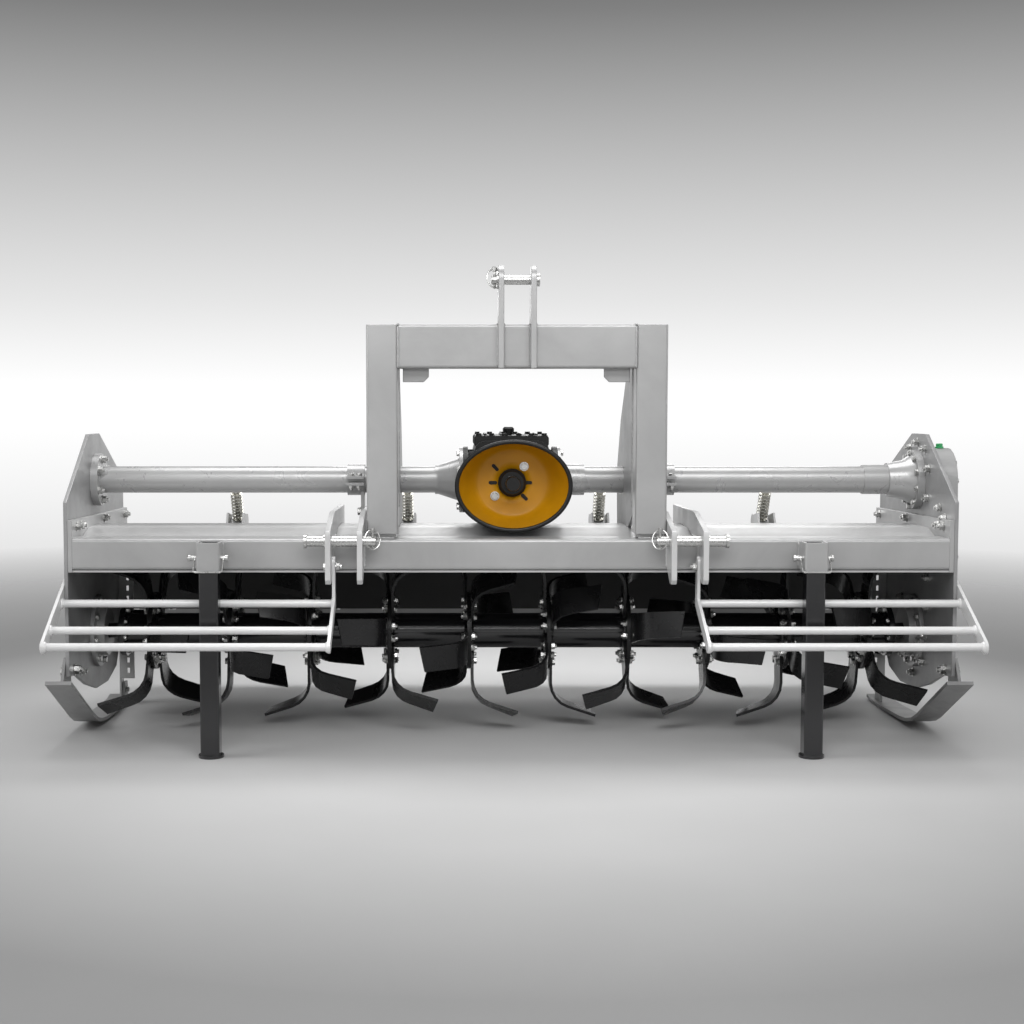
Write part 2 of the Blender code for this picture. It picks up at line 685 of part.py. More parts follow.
def make_drive_tube():
    """The right drive shaft tube, with its collar, its joint rings and the bell at the side plate."""
    start = GEARBOX_OFFSET + GEARBOX_HALF + 0.030 + GAP
    length = PLATE_INNER - GAP - start
    tube = TUBE_RADIUS
    bell = length - 0.090
    profile = [(0, 0), (0, FLANGE_FACE), (0.008, FLANGE_FACE), (0.008, tube + 0.007), (0.078, tube + 0.007),
               (0.078, tube)]
    profile += [(bell - 0.070, tube), (bell - 0.070, tube + 0.004), (bell, tube + 0.004),
                (bell, tube + 0.010)]
    profile += [(length - 0.045, tube + 0.018), (length - 0.020, 0.072), (length - 0.020, 0.086),
                (length, 0.086), (length, 0)]
    return part(turned(profile, (start, ROTOR_Y, TUBE_Z), (1, 0, 0), ROUND_LARGE), "drive_tube_right",
                "frame_paint")


def make_clamp():
    """The split clamp round the tube, with front ears and a leg that stands on the link plate."""
    low = LINK_OFFSET + LINK_INNER + LINK_THICK + GAP
    high = low + 0.050
    ring = cylinder((low, ROTOR_Y, TUBE_Z), (high, ROTOR_Y, TUBE_Z), TUBE_RADIUS + 0.007,
                    segments=ROUND_LARGE)
    ears = box((low, high), (ROTOR_Y - TUBE_RADIUS - 0.040, ROTOR_Y), (TUBE_Z - 0.0135, TUBE_Z + 0.0135))
    leg = box((low + 0.001, low + 0.011), (ROTOR_Y - 0.029, ROTOR_Y + 0.029),
              (LINK_TOP - 0.036, TUBE_Z - 0.020))
    clamp = combine(ring, [ears, leg])
    bore = cylinder((low - 0.01, ROTOR_Y, TUBE_Z), (high + 0.01, ROTOR_Y, TUBE_Z), TUBE_RADIUS + GAP,
                    segments=ROUND_LARGE)
    split = box((low - 0.01, high + 0.01), (ROTOR_Y - 0.15, ROTOR_Y), (TUBE_Z - 0.005, TUBE_Z + 0.005))
    return combine(clamp, [bore, split], "DIFFERENCE")


def make_drive_case():
    """The side gear case outside the right plate: two round ends and the straight flanks between."""
    low = FRAME_WIDTH / 2 + GAP
    lean = atan2(CASE_BOTTOM_RADIUS - CASE_TOP_RADIUS, TUBE_Z - ROTOR_Z) * 180 / pi
    outline = arc((ROTOR_Y, TUBE_Z), CASE_TOP_RADIUS, lean, 180 - lean, 12)
    outline += arc((ROTOR_Y, ROTOR_Z), CASE_BOTTOM_RADIUS, 180 - lean, 360 + lean, 14)
    case = plate("YZ", outline, low, CASE_OUTER)
    edge = case.modifiers.new("round", "BEVEL")
    edge.width = 0.014
    edge.segments = 2
    edge.limit_method = "ANGLE"
    edge.angle_limit = radians(50)
    return part(solid_from(case), "side_drive_case", "frame_paint")


# ---- power shaft and shield ----------------------------------------------------------------
def make_power_shaft():
    start = GEARBOX_FRONT + 0.036
    length = start - SHAFT_FRONT
    collar = GEARBOX_FRONT - 0.012 - 0.004
    near = start - collar
    profile = [(0, 0), (0, SHAFT_RADIUS), (near, SHAFT_RADIUS), (near, 0.032), (near + 0.010, 0.032)]
    profile += [(near + 0.010, SHAFT_RADIUS), (length - 0.003, SHAFT_RADIUS), (length, SHAFT_RADIUS - 0.003)]
    profile += [(length, 0)]
    shaft = turned(profile, (GEARBOX_OFFSET, start, TUBE_Z), (0, -1, 0))
    pivot = (GEARBOX_OFFSET, GEARBOX_FRONT, TUBE_Z)
    empty = make_empty("pto_axis", pivot, MACHINE)
    return part(shaft, "pto_shaft", "steel", pivot, empty)


def oval(count, half_width, half_height, y, drop=0.0):
    """A ring of points: an ellipse across the power shaft."""
    turns = [2 * pi * i / count for i in range(count)]
    return [(GEARBOX_OFFSET + half_width * cos(a), y, TUBE_Z - drop + half_height * sin(a)) for a in turns]


def make_shield():
    """The oval bell round the power shaft: an open skin with thickness, and its back plate."""
    count = 28
    back = GEARBOX_FRONT - 0.012 - GAP
    hub = SHAFT_RADIUS + 0.020
    depth = back - SHIELD_FRONT
    rings = [
        oval(count, SHIELD_HALF_WIDTH, SHIELD_HALF_HEIGHT, SHIELD_FRONT, SHIELD_DROP),
        oval(count, SHIELD_HALF_WIDTH - 0.006, SHIELD_HALF_HEIGHT - 0.004, SHIELD_FRONT + depth * 0.25,
             SHIELD_DROP),
        oval(count, SHIELD_HALF_WIDTH - 0.026, SHIELD_HALF_HEIGHT - 0.012, SHIELD_FRONT + depth * 0.72),
        oval(count, SHIELD_BACK_RADIUS + 0.006, SHIELD_BACK_RADIUS, back),
        oval(count, hub, hub, back),
    ]
    bm = bmesh.new()
    loops = [[bm.verts.new(p) for p in ring] for ring in rings]
    for first, second in zip(loops, loops[1:]):
        for i in range(count):
            j = (i + 1) % count
            bm.faces.new((first[i], first[j], second[j], second[i]))
    bmesh.ops.recalc_face_normals(bm, faces=bm.faces)
    shell = add_mesh(bm)
    skin = shell.modifiers.new("skin", "SOLIDIFY")
    skin.thickness = SHIELD_WALL
    skin.offset = -1.0 if shell.data.polygons[0].normal.dot(Vector((1, 0, 0))) > 0 else 1.0
    return part(solid_from(shell), "pto_shield", "shield_orange")


# ---- rotor ---------------------------------------------------------------------------------
def make_rotor_tube():
    """The rotor tube with a stub shaft and an end flange at each side plate."""
    left = -(PLATE_INNER - BEARING_DEPTH - GAP)
    right = PLATE_INNER - BEARING_DEPTH - GAP
    tube = cylinder((left + 0.040, ROTOR_Y, ROTOR_Z), (right - 0.040, ROTOR_Y, ROTOR_Z), ROTOR_TUBE_RADIUS,
                    segments=ROUND_LARGE)
    flanges = [cylinder((s * (right - 0.055), ROTOR_Y, ROTOR_Z), (s * (right - 0.039), ROTOR_Y, ROTOR_Z),
                        0.074, segments=ROUND_LARGE)
               for s in (-1, 1)]
    stub = cylinder((left - BEARING_DEPTH + 0.006, ROTOR_Y, ROTOR_Z),
                    (right + BEARING_DEPTH - 0.006, ROTOR_Y, ROTOR_Z), STUB_RADIUS)
    return combine(tube, flanges + [stub])


def make_bearing():
    """The round bearing housing on the inner face of a side plate."""
    outer = PLATE_INNER - GAP
    housing = cylinder((outer - BEARING_DEPTH, ROTOR_Y, ROTOR_Z), (outer, ROTOR_Y, ROTOR_Z), BEARING_RADIUS,
                       segments=ROUND_LARGE)
    ring = cylinder((outer - 0.012, ROTOR_Y, ROTOR_Z), (outer, ROTOR_Y, ROTOR_Z), BEARING_RING,
                    segments=ROUND_LARGE)
    bore = cylinder((outer - 0.1, ROTOR_Y, ROTOR_Z), (outer + 0.1, ROTOR_Y, ROTOR_Z),
                    around(STUB_RADIUS + GAP, ROUND))
    return combine(combine(housing, [ring]), [bore], "DIFFERENCE")


def blade_path():
    """The blade's middle line in (sideways, radius): a straight shank, a bend and a flat tip."""
    path = [(0.0, BLADE_ROOT), (0.0, BLADE_BEND_START)]
    bend = 4
    for i in range(1, bend + 1):
        a = BLADE_BEND_ANGLE * i / bend
        path.append((BLADE_BEND_RADIUS * (1 - cos(a)), BLADE_BEND_START + BLADE_BEND_RADIUS * sin(a)))
    rest = (BLADE_REACH - path[-1][0]) / sin(BLADE_BEND_ANGLE)
    tip = (BLADE_REACH, path[-1][1] + rest * cos(BLADE_BEND_ANGLE))
    return path + [tip]


def make_blade(side):
    """One bent blade standing along +Z on one face of its flange, swept back towards its tip."""
    line = blade_path()
    skins = [offset_line(line, BLADE_THICK / 2), offset_line(line, -BLADE_THICK / 2)]
    start = side * (FLANGE_THICK / 2 + BLADE_THICK / 2 - 0.001)
    bm = bmesh.new()
    rows = []
    last = len(line) - 1
    for i in range(len(line)):
        share = i / last
        front = -BLADE_WIDTH / 2 + 0.012 * share
        rear = BLADE_WIDTH / 2 + 0.004 * share
        slant = 0.014 if i == last else 0.0
        row = []
        for skin, y, pull in ((0, front, slant), (0, rear, 0), (1, rear, 0), (1, front, slant)):
            x, z = skins[skin][i]
            row.append(bm.verts.new((start + side * (x - pull), y, z)))
        rows.append(row)
    for first, second in zip(rows, rows[1:]):
        for k in range(4):
            n = (k + 1) % 4
            bm.faces.new((first[k], first[n], second[n], second[k]))
    bm.faces.new(rows[0])
    bm.faces.new(rows[-1])
    bmesh.ops.recalc_face_normals(bm, faces=bm.faces)
    return add_mesh(bm)


def make_blade_set():
    """A flange with six blades, three bent to each side, round its own axis at the origin."""
    flange = cylinder((-FLANGE_THICK / 2, 0, 0), (FLANGE_THICK / 2, 0, 0), FLANGE_RADIUS, segments=24)
    blades = []
    for i in range(6):
        blade = make_blade(1 if i % 2 == 0 else -1)
        blade.data.transform(Matrix.Rotation(i * pi / 3, 4, "X"))
        blades.append(blade)
    hole = cylinder((-0.1, 0, 0), (0.1, 0, 0), around(ROTOR_TUBE_RADIUS + GAP), segments=ROUND_LARGE)
    return combine(combine(flange, blades), [hole], "DIFFERENCE")


def make_rotor():
    axis = Vector((ROTOR_OFFSET, ROTOR_Y, ROTOR_Z))
    spin = make_empty("rotor_axis", axis, MACHINE)
    part(make_rotor_tube(), "rotor_tube", "black_paint", axis, spin)
    master = make_blade_set()
    first = -(BLADE_SETS - 1) / 2 * SET_PITCH
    for i in range(BLADE_SETS):
        copy = master if i == 0 else bpy.data.objects.new("blade_set", master.data)
        if i:
            PARTS.objects.link(copy)
        part_copy(copy, f"blade_set_{i + 1}", "blade_paint", spin)
        copy.location = (first + i * SET_PITCH, 0, 0)
        copy.rotation_euler = (FIRST_PHASE + i * PHASE_STEP, 0, 0)


def part_copy(obj, name, colour, parent):
    """Name one of several pieces that share a mesh made round its own origin."""
    obj.parent = parent
    obj.name = name
    if not obj.data.materials:
        obj.data.materials.append(MATERIALS[colour])
        obj.data.shade_smooth()
        obj.data.set_sharp_from_angle(angle=radians(35))


# ---- front guards --------------------------------------------------------------------------
def make_guard(side):
    """Three bars between an arm on the outer link plate and an arm outside the side plate.

    The left guard is a little longer, because the hitch stands to the drive side.
    """
    inner = LINK_INNER + LINK_THICK + LINK_GAP - GAP - ARM_THICK + side * LINK_OFFSET
    outer = FRAME_WIDTH / 2 + GAP
    foot = BARS[-1]
    inner_arm = strip([(-0.030, 0.515), (-0.027, 0.408), foot], 0.032)
    outer_arm = strip([(0.045, 0.452), foot], 0.036)
    solids = [plate("YZ", inner_arm, inner, inner + ARM_THICK),
              plate("YZ", outer_arm, outer, outer + ARM_THICK)]
    for y, z in BARS:
        start, end = (inner + 0.002, y, z), (outer + ARM_THICK + 0.003, y, z)
        solids.append(cylinder(start, end, BAR_RADIUS, segments=ROUND_SMALL))
    guard = combine(solids[0], solids[1:])
    return guard if side > 0 else mirrored_only(guard)


def make_guards():
    part(make_guard(-1), "guard_left", "bar_paint")
    part(make_guard(1), "guard_right", "bar_paint")


# ---- stands --------------------------------------------------------------------------------
def make_socket():
    """The square sleeve for a stand leg, with the bracket that carries it on the beam."""
    half = LEG_SIZE / 2 + SLIDE + SOCKET_WALL
    z = (SOCKET_BOTTOM, SOCKET_BOTTOM + SOCKET_HEIGHT)
    sleeve = box((STAND_X - half, STAND_X + half), (STAND_Y - half, STAND_Y + half), z, 0.004, "Z", 1)
    back = box((STAND_X - half + 0.004, STAND_X + half - 0.004), (STAND_Y, -GAP),
               (z[0] + 0.004, z[1] - 0.004))
    room = LEG_SIZE / 2 + SLIDE
    bore = box((STAND_X - room, STAND_X + room), (STAND_Y - room, STAND_Y + room), (z[0] - 0.05, z[1] + 0.05))
    hole = cylinder((STAND_X - 0.1, STAND_Y, STAND_PIN_Z), (STAND_X + 0.1, STAND_Y, STAND_PIN_Z),
                    STAND_PIN_RADIUS + GAP, segments=ROUND_SMALL)
    return combine(combine(sleeve, [back]), [bore, hole], "DIFFERENCE")


def make_stand_pin():
    """The two ends of a stand's pin, tied by the wire lock that swings round under the socket."""
    half = LEG_SIZE / 2 + SLIDE + SOCKET_WALL
    inside = LEG_SIZE / 2 + SLIDE + 0.001
    ends = []
    for side, reach in ((-1, 0.012), (1, 0.012)):
        a = STAND_X + side * inside
        b = STAND_X + side * (half + reach)
        ends.append(cylinder((a, STAND_Y, STAND_PIN_Z), (b, STAND_Y, STAND_PIN_Z), STAND_PIN_RADIUS,
                             segments=ROUND_SMALL))
    out = half + 0.007
    front = STAND_Y - half - 0.008
    low = STAND_PIN_Z - 0.034
    route = [(-out, STAND_Y, STAND_PIN_Z), (-out, STAND_Y - 0.012, STAND_PIN_Z - 0.006),
             (-out, front + 0.006, low + 0.002),
             (-out + 0.006, front, low), (out - 0.006, front, low), (out, front + 0.006, low + 0.002),
             (out, STAND_Y - 0.012, STAND_PIN_Z - 0.006), (out, STAND_Y, STAND_PIN_Z)]
    wire = wire_solid([(STAND_X + x, y, z) for x, y, z in route], WIRE_RADIUS)
    return combine(ends[0], [wire, ends[1]])


def wire_solid(points, radius):
    curve = bpy.data.curves.new("wire", "CURVE")
    curve.dimensions = "3D"
    curve.bevel_depth = radius
    curve.bevel_resolution = 1
    curve.use_fill_caps = True
    spline = curve.splines.new("POLY")
    spline.points.add(len(points) - 1)
    for point, place in zip(spline.points, points):
        point.co = (*place, 1.0)
    obj = bpy.data.objects.new("wire", curve)
    PARTS.objects.link(obj)
    return solid_from(obj)


def make_stands():
    for side, name in ((-1, "left"), (1, "right")):
        x = side * STAND_X
        half = LEG_SIZE / 2
        leg = box((x - half, x + half), (STAND_Y - half, STAND_Y + half), (FOOT_THICK - 0.001, LEG_TOP),
                  0.004, "Z", 1)
        room = half - LEG_WALL
        bore = box((x - room, x + room), (STAND_Y - room, STAND_Y + room),
                   (FOOT_THICK + 0.004, LEG_TOP + 0.1))
        foot = cylinder((x, STAND_Y, 0), (x, STAND_Y, FOOT_THICK), FOOT_RADIUS)
        hole = cylinder((x - 0.1, STAND_Y, STAND_PIN_Z), (x + 0.1, STAND_Y, STAND_PIN_Z),
                        STAND_PIN_RADIUS + 0.001, segments=ROUND_SMALL)
        leg = combine(combine(leg, [foot]), [bore, hole], "DIFFERENCE")
        pivot = (x, STAND_Y, SOCKET_BOTTOM)
        slide = make_empty(f"stand_slide_{name}", pivot, MACHINE)
        part(leg, f"stand_leg_{name}", "black_paint", pivot, slide)


# ---- skids ---------------------------------------------------------------------------------
def skid_line():
    """The skid's under face from the nose's tip back to its heel, in (y, z)."""
    nose = [(-0.052, 0.190), (0.215, 0.050)]
    bend = [(0.262, 0.030), (0.315, 0.017), (0.380, 0.0095)]
    heel = [(0.600, 0.0), (0.700, 0.0), (0.748, 0.007)]
    return nose + bend + heel


def make_skid(side):
    """An upturned runner under a side plate, with its front pivot ear and its rear ear."""
    line = skid_line()
    middle = FRAME_WIDTH / 2 - SIDE_THICK / 2 + SKID_OUTSET[side]
    low, high = middle - SKID_WIDTH / 2, middle + SKID_WIDTH / 2
    runner = plate("YZ", line + offset_line(line, -SKID_THICK)[::-1], low, high)
    outside = FRAME_WIDTH / 2 + GAP
    ear = plate("YZ", [(-0.030, 0.186), (0.005, 0.170), (0.060, 0.142), (0.062, 0.235), (0.040, 0.252),
                       (0.008, 0.252)],
                outside, outside + 0.008)
    strut_low = PLATE_INNER - STRUT_THICK - GAP
    rear = plate("YZ", [(0.640, 0.008), (0.700, 0.006), (0.690, 0.070), (0.650, 0.070)],
                 strut_low - 0.008 - GAP, strut_low - GAP)
    skid = combine(runner, [ear, rear])
    return skid if side > 0 else mirrored_only(skid)


def make_strut():
    """The perforated angle that sets the skid's rear height on the side plate."""
    outer = PLATE_INNER - GAP
    top, foot = 0.420, 0.028
    side = plate("YZ", [(STRUT_Y, foot), (STRUT_Y + STRUT_DEPTH, foot), (STRUT_Y + STRUT_DEPTH, top),
                        (STRUT_Y, top)],
                 outer - STRUT_THICK, outer)
    inner = outer - STRUT_WIDTH
    slots = [SLOT_LOW + i * SLOT_PITCH for i in range(SLOT_COUNT)]
    holes = [[(inner + 0.014, z), (inner + 0.022, z), (inner + 0.022, z + SLOT_LENGTH),
              (inner + 0.014, z + SLOT_LENGTH)]
             for z in slots]
    front = plate("XZ", [(inner, 0.085), (outer, 0.085), (outer, top), (inner, top)],
                  STRUT_Y, STRUT_Y + STRUT_THICK, holes)
    return combine(side, [front])


# ---- tailboard -----------------------------------------------------------------------------
def make_tailboard():
    """The levelling board: hinge rod, sheet with its stiffening lip, and the rods' eye lugs."""
    pivot = Vector((0, HINGE_Y, HINGE_Z))
    half = PLATE_INNER - 0.030
    sheet = box((-half, half), (HINGE_ROD_RADIUS - 0.002, TAIL_LENGTH), (-TAIL_THICK / 2, TAIL_THICK / 2))
    lip = box((-half, half), (TAIL_LENGTH - 0.006, TAIL_LENGTH), (-TAIL_THICK / 2, 0.030))
    rib = box((-half, half), (0.120, 0.126), (0, 0.024))
    rod = cylinder((-half, 0, 0), (half, 0, 0), HINGE_ROD_RADIUS, segments=ROUND_SMALL)
    eyes = []
    for x in ROD_X:
        for side in (-1, 1):
            low = x + side * 0.018 - 0.003
            shape = [(EYE_ALONG - 0.024, 0.0), (EYE_ALONG + 0.024, 0.0)]
            shape += arc((EYE_ALONG, EYE_HEIGHT), 0.015, 0, 180)
            eyes.append(plate("YZ", shape, low, low + 0.006))
        eyes.append(cylinder((x - 0.026, EYE_ALONG, EYE_HEIGHT), (x + 0.026, EYE_ALONG, EYE_HEIGHT), 0.006,
                             segments=ROUND_SMALL))
    notches = [box((x - 0.012, x + 0.012), (-0.01, 0.024), (-0.02, 0.02)) for x in HINGE_LUGS]
    sheet = combine(sheet, notches, "DIFFERENCE")
    board = combine(sheet, [lip, rib, rod] + eyes)
    board.data.transform(Matrix.Rotation(TAIL_SLOPE, 4, "X"))
    hinge = make_empty("tailboard_hinge", pivot, MACHINE)
    board.data.transform(Matrix.Translation(pivot))
    part(board, "tailboard", "frame_paint", pivot, hinge)
    return hinge


def make_spring_rods(hinge):
    """Four rods with an eye on the tailboard, a spring above the guide block and a top nut."""
    eye = Vector((0, *rod_eye()))
    along = rod_direction()
    reach = (Vector(ROD_BLOCK) - Vector(rod_eye())).length
    swing = make_empty("spring_rod_eyes", eye - parent_place(hinge), hinge)
    for i, x in enumerate(ROD_X):
        start = reach + 0.012 + 0.004
        end = start + SPRING_LENGTH
        profile = [(0.012, 0), (0.012, ROD_RADIUS), (reach - 0.090, ROD_RADIUS), (reach - 0.090, 0.014)]
        profile += [(reach - 0.078, 0.014), (reach - 0.078, ROD_RADIUS)]
        profile += [(start, ROD_RADIUS), (start, SPRING_RADIUS), (end, SPRING_RADIUS), (end, 0.013)]
        profile += [(end + 0.012, 0.013), (end + 0.012, ROD_RADIUS), (end + 0.026, ROD_RADIUS),
                    (end + 0.026, 0)]
        place = Vector((x, eye.y, eye.z))
        shaft = turned(profile, place, (0, along.x, along.y), ROUND_SMALL)
        ring = cylinder((x - 0.012, eye.y, eye.z), (x + 0.012, eye.y, eye.z), 0.016, segments=ROUND_SMALL)
        hole = cylinder((x - 0.03, eye.y, eye.z), (x + 0.03, eye.y, eye.z),
                        around(0.006 + RUNNING, ROUND_SMALL), segments=ROUND_SMALL)
        rod = combine(combine(shaft, [ring]), [hole], "DIFFERENCE")
        part(rod, f"spring_rod_{i + 1}", "zinc", (x, eye.y, eye.z), swing)


# ---- the whole machine ---------------------------------------------------------------------
def centre_over_origin():
    """Move the machine group so that its box stands centred on the origin."""
    bpy.context.view_layer.update()
    corners = [obj.matrix_world @ v.co for obj in PARTS.objects if obj.type == "MESH" for v in obj.data.vertices]
    low = [min(c[k] for c in corners) for k in range(3)]
    high = [max(c[k] for c in corners) for k in range(3)]
    MACHINE.location = (-(low[0] + high[0]) / 2, -(low[1] + high[1]) / 2, -low[2])


def build():
    pair(make_side_plate, "side_plate", "side_paint")
    pair(make_end_plate, "end_plate", "frame_paint")
    pair(make_bearing, "rotor_bearing", "frame_paint")
    make_main_beam()
    make_hood()
    pair(make_post, "headstock_post", "frame_paint", HITCH_OFFSET)
    make_crossbeam()
    pair(make_stay, "headstock_stay", "side_paint", HITCH_OFFSET)
    make_top_link()
    make_lower_links()
    make_gearbox()
    make_cross_tube()
    make_drive_tube()
    pair(make_clamp, "tube_clamp", "frame_paint", LINK_OFFSET)
    make_drive_case()
    make_shield()
    make_power_shaft()
    make_rotor()
    make_guards()
    pair(make_socket, "stand_socket", "frame_paint")
    pair(make_stand_pin, "stand_pin", "zinc")
    make_stands()
    part(make_skid(-1), "skid_left", "frame_paint")
    part(make_skid(1), "skid_right", "frame_paint")
    pair(make_strut, "skid_strut", "frame_paint")
    hinge = make_tailboard()
    make_spring_rods(hinge)
    centre_over_origin()


build()
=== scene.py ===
"""Looks of the three-point rotavator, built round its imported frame."""
import json
from math import atan2, cos, pi, radians, sin

import bmesh
import bpy
from mathutils import Matrix, Vector

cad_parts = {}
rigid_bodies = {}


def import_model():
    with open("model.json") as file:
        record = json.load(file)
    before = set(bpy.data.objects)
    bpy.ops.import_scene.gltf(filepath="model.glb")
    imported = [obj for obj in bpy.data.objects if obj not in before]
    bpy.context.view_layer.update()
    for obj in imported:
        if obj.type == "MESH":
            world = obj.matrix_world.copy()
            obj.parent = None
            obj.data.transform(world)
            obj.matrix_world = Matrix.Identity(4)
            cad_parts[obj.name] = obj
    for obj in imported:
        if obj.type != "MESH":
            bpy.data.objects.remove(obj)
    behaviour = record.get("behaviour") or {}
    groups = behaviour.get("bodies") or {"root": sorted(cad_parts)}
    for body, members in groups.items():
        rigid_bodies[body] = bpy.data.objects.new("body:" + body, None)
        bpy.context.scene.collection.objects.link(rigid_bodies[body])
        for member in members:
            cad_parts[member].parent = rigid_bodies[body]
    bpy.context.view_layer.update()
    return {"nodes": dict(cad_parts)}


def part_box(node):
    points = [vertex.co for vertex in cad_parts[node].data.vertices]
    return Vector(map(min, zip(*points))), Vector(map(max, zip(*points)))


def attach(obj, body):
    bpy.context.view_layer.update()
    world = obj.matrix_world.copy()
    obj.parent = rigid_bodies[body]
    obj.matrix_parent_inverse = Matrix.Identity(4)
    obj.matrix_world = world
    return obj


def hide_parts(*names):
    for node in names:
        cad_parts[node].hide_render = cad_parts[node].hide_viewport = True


for old in list(bpy.data.objects):
    bpy.data.objects.remove(old, do_unlink=True)
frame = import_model()
nodes = frame["nodes"]

# ---- Camera ---------------------------------------------------------------------------------
# A standing person's view of the hitch side from a little left of the middle.
# Distances are taken from the main beam's front face and from the middle of the side frame.
BEAM_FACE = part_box("main_beam")[0].y
MIDDLE_X = (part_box("side_plate_left")[0].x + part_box("side_plate_right")[1].x) / 2
HERE = Vector((MIDDLE_X, BEAM_FACE, 0.0))
CAMERA_PLACE = (-0.168, -4.2, 0.945)
CAMERA_PITCH = radians(4.06)
CAMERA_LENS = 55.5
CAMERA_SENSOR = 36.0
CAMERA_SHIFT = 0.0625

eye = bpy.data.cameras.new("camera")
eye.sensor_width = CAMERA_SENSOR
eye.lens = CAMERA_LENS
eye.shift_x = CAMERA_SHIFT
camera = bpy.data.objects.new("camera", eye)
camera.location = HERE + Vector(CAMERA_PLACE)
camera.rotation_euler = (pi / 2 - CAMERA_PITCH, 0.0, 0.0)
bpy.context.scene.collection.objects.link(camera)
bpy.context.scene.camera = camera
bpy.context.scene.view_settings.view_transform = "Standard"


# ---- Floor, sky and lamps -------------------------------------------------------------------
# A pale studio floor, painted brighter near the machine and darker farther out as a painted pool of
# light, that fades into an even sweep of light, with broad soft lamps over the hitch side, on each
# flank, above and behind.
def add_piece(bm, name):
    """Make an object from a bmesh built from the middle of the beam's front face."""
    bmesh.ops.translate(bm, vec=HERE, verts=bm.verts)
    mesh = bpy.data.meshes.new(name)
    bm.to_mesh(mesh)
    bm.free()
    piece = bpy.data.objects.new(name, mesh)
    bpy.context.scene.collection.objects.link(piece)
    return piece


def new_material(name):
    """A node material with its shader and a pattern space in metres."""
    material = bpy.data.materials.new(name)
    material.use_nodes = True
    tree = material.node_tree
    shader = tree.nodes["Principled BSDF"]
    space = tree.nodes.new("ShaderNodeTexCoord")
    return material, tree, shader, space.outputs["Object"]


def noise_of(tree, space, scale, detail=4.0, rough=0.6, distortion=0.0):
    """A noise pattern, its scale in cycles a metre."""
    noise = tree.nodes.new("ShaderNodeTexNoise")
    noise.inputs["Scale"].default_value = scale
    noise.inputs["Detail"].default_value = detail
    noise.inputs["Roughness"].default_value = rough
    noise.inputs["Distortion"].default_value = distortion
    tree.links.new(space, noise.inputs["Vector"])
    return noise.outputs["Fac"]


def ramp_of(tree, value, stops):
    """A colour ramp with (place, colour or grey level) stops."""
    ramp = tree.nodes.new("ShaderNodeValToRGB")
    elements = ramp.color_ramp.elements
    while len(elements) < len(stops):
        elements.new(0.5)
    for element, (place, shade) in zip(elements, stops):
        element.position = place
        element.color = (shade, shade, shade, 1.0) if isinstance(shade, float) else (*shade, 1.0)
    tree.links.new(value, ramp.inputs["Fac"])
    return ramp.outputs["Color"]


def blend_of(tree, share, first, second, how="MIX"):
    """Mix two colours; each is a colour or a socket, and so is the share."""
    mix = tree.nodes.new("ShaderNodeMix")
    mix.data_type = "RGBA"
    mix.blend_type = how
    for socket, value in ((mix.inputs[0], share), (mix.inputs[6], first), (mix.inputs[7], second)):
        if isinstance(value, bpy.types.NodeSocket):
            tree.links.new(value, socket)
        elif isinstance(value, float):
            socket.default_value = value
        else:
            socket.default_value = (*value, 1.0)
    return mix.outputs[2]


def bump_of(tree, shader, height, strength, distance, after=None):
    """Raise a pattern as fine relief, on top of an earlier one if there is one."""
    bump = tree.nodes.new("ShaderNodeBump")
    bump.inputs["Strength"].default_value = strength
    bump.inputs["Distance"].default_value = distance
    tree.links.new(height, bump.inputs["Height"])
    if after is not None:
        tree.links.new(after, bump.inputs["Normal"])
    tree.links.new(bump.outputs["Normal"], shader.inputs["Normal"])
    return bump.outputs["Normal"]


FLOOR_RADIUS = 8.0
FLOOR_FADE = [(0.30, 1.0), (0.78, 0.0)]
# Grey levels of the floor by distance from the middle: a painted pool of light that darkens
# outward.
FLOOR_PAINTED_LIGHT_LEVELS = [(0.12, 0.54), (0.27, 0.20)]
bm = bmesh.new()
bmesh.ops.create_circle(bm, cap_ends=True, segments=96, radius=FLOOR_RADIUS)
floor = add_piece(bm, "studio_floor")
material, tree, shader, space = new_material("pale_floor")
mottle = ramp_of(tree, noise_of(tree, space, 0.8), [(0.35, 0.94), (0.65, 1.0)])
shader.inputs["Roughness"].default_value = 0.55
reach = tree.nodes.new("ShaderNodeVectorMath")
reach.operation = "LENGTH"
tree.links.new(space, reach.inputs[0])
share = tree.nodes.new("ShaderNodeMath")
share.operation = "DIVIDE"
share.inputs[1].default_value = FLOOR_RADIUS
tree.links.new(reach.outputs["Value"], share.inputs[0])
# The floor's colour is darkened with distance as painted light falloff.
level = ramp_of(tree, share.outputs[0], FLOOR_PAINTED_LIGHT_LEVELS)
tree.links.new(blend_of(tree, 1.0, level, mottle, "MULTIPLY"), shader.inputs["Base Color"])
tree.links.new(ramp_of(tree, share.outputs[0], FLOOR_FADE), shader.inputs["Alpha"])
floor.data.materials.append(material)

# Grey levels of the sweep by the height of the line of sight, from underfoot to overhead.
SKY_LEVELS = [(0.0, 0.26), (0.30, 0.26), (0.41, 0.52), (0.47, 0.90), (0.50, 1.05), (0.53, 0.80),
              (0.62, 0.20), (1.0, 0.50)]
world = bpy.data.worlds.new("studio")
bpy.context.scene.world = world
world.use_nodes = True
tree = world.node_tree
ray = tree.nodes.new("ShaderNodeTexCoord")
split = tree.nodes.new("ShaderNodeSeparateXYZ")
tree.links.new(ray.outputs["Generated"], split.inputs[0])
rise = tree.nodes.new("ShaderNodeMath")
rise.operation = "MULTIPLY_ADD"
rise.inputs[1].default_value = 0.5
rise.inputs[2].default_value = 0.5
tree.links.new(split.outputs["Z"], rise.inputs[0])
tree.links.new(ramp_of(tree, rise.outputs[0], SKY_LEVELS), tree.nodes["Background"].inputs["Color"])
tree.nodes["Background"].inputs["Strength"].default_value = 1.0

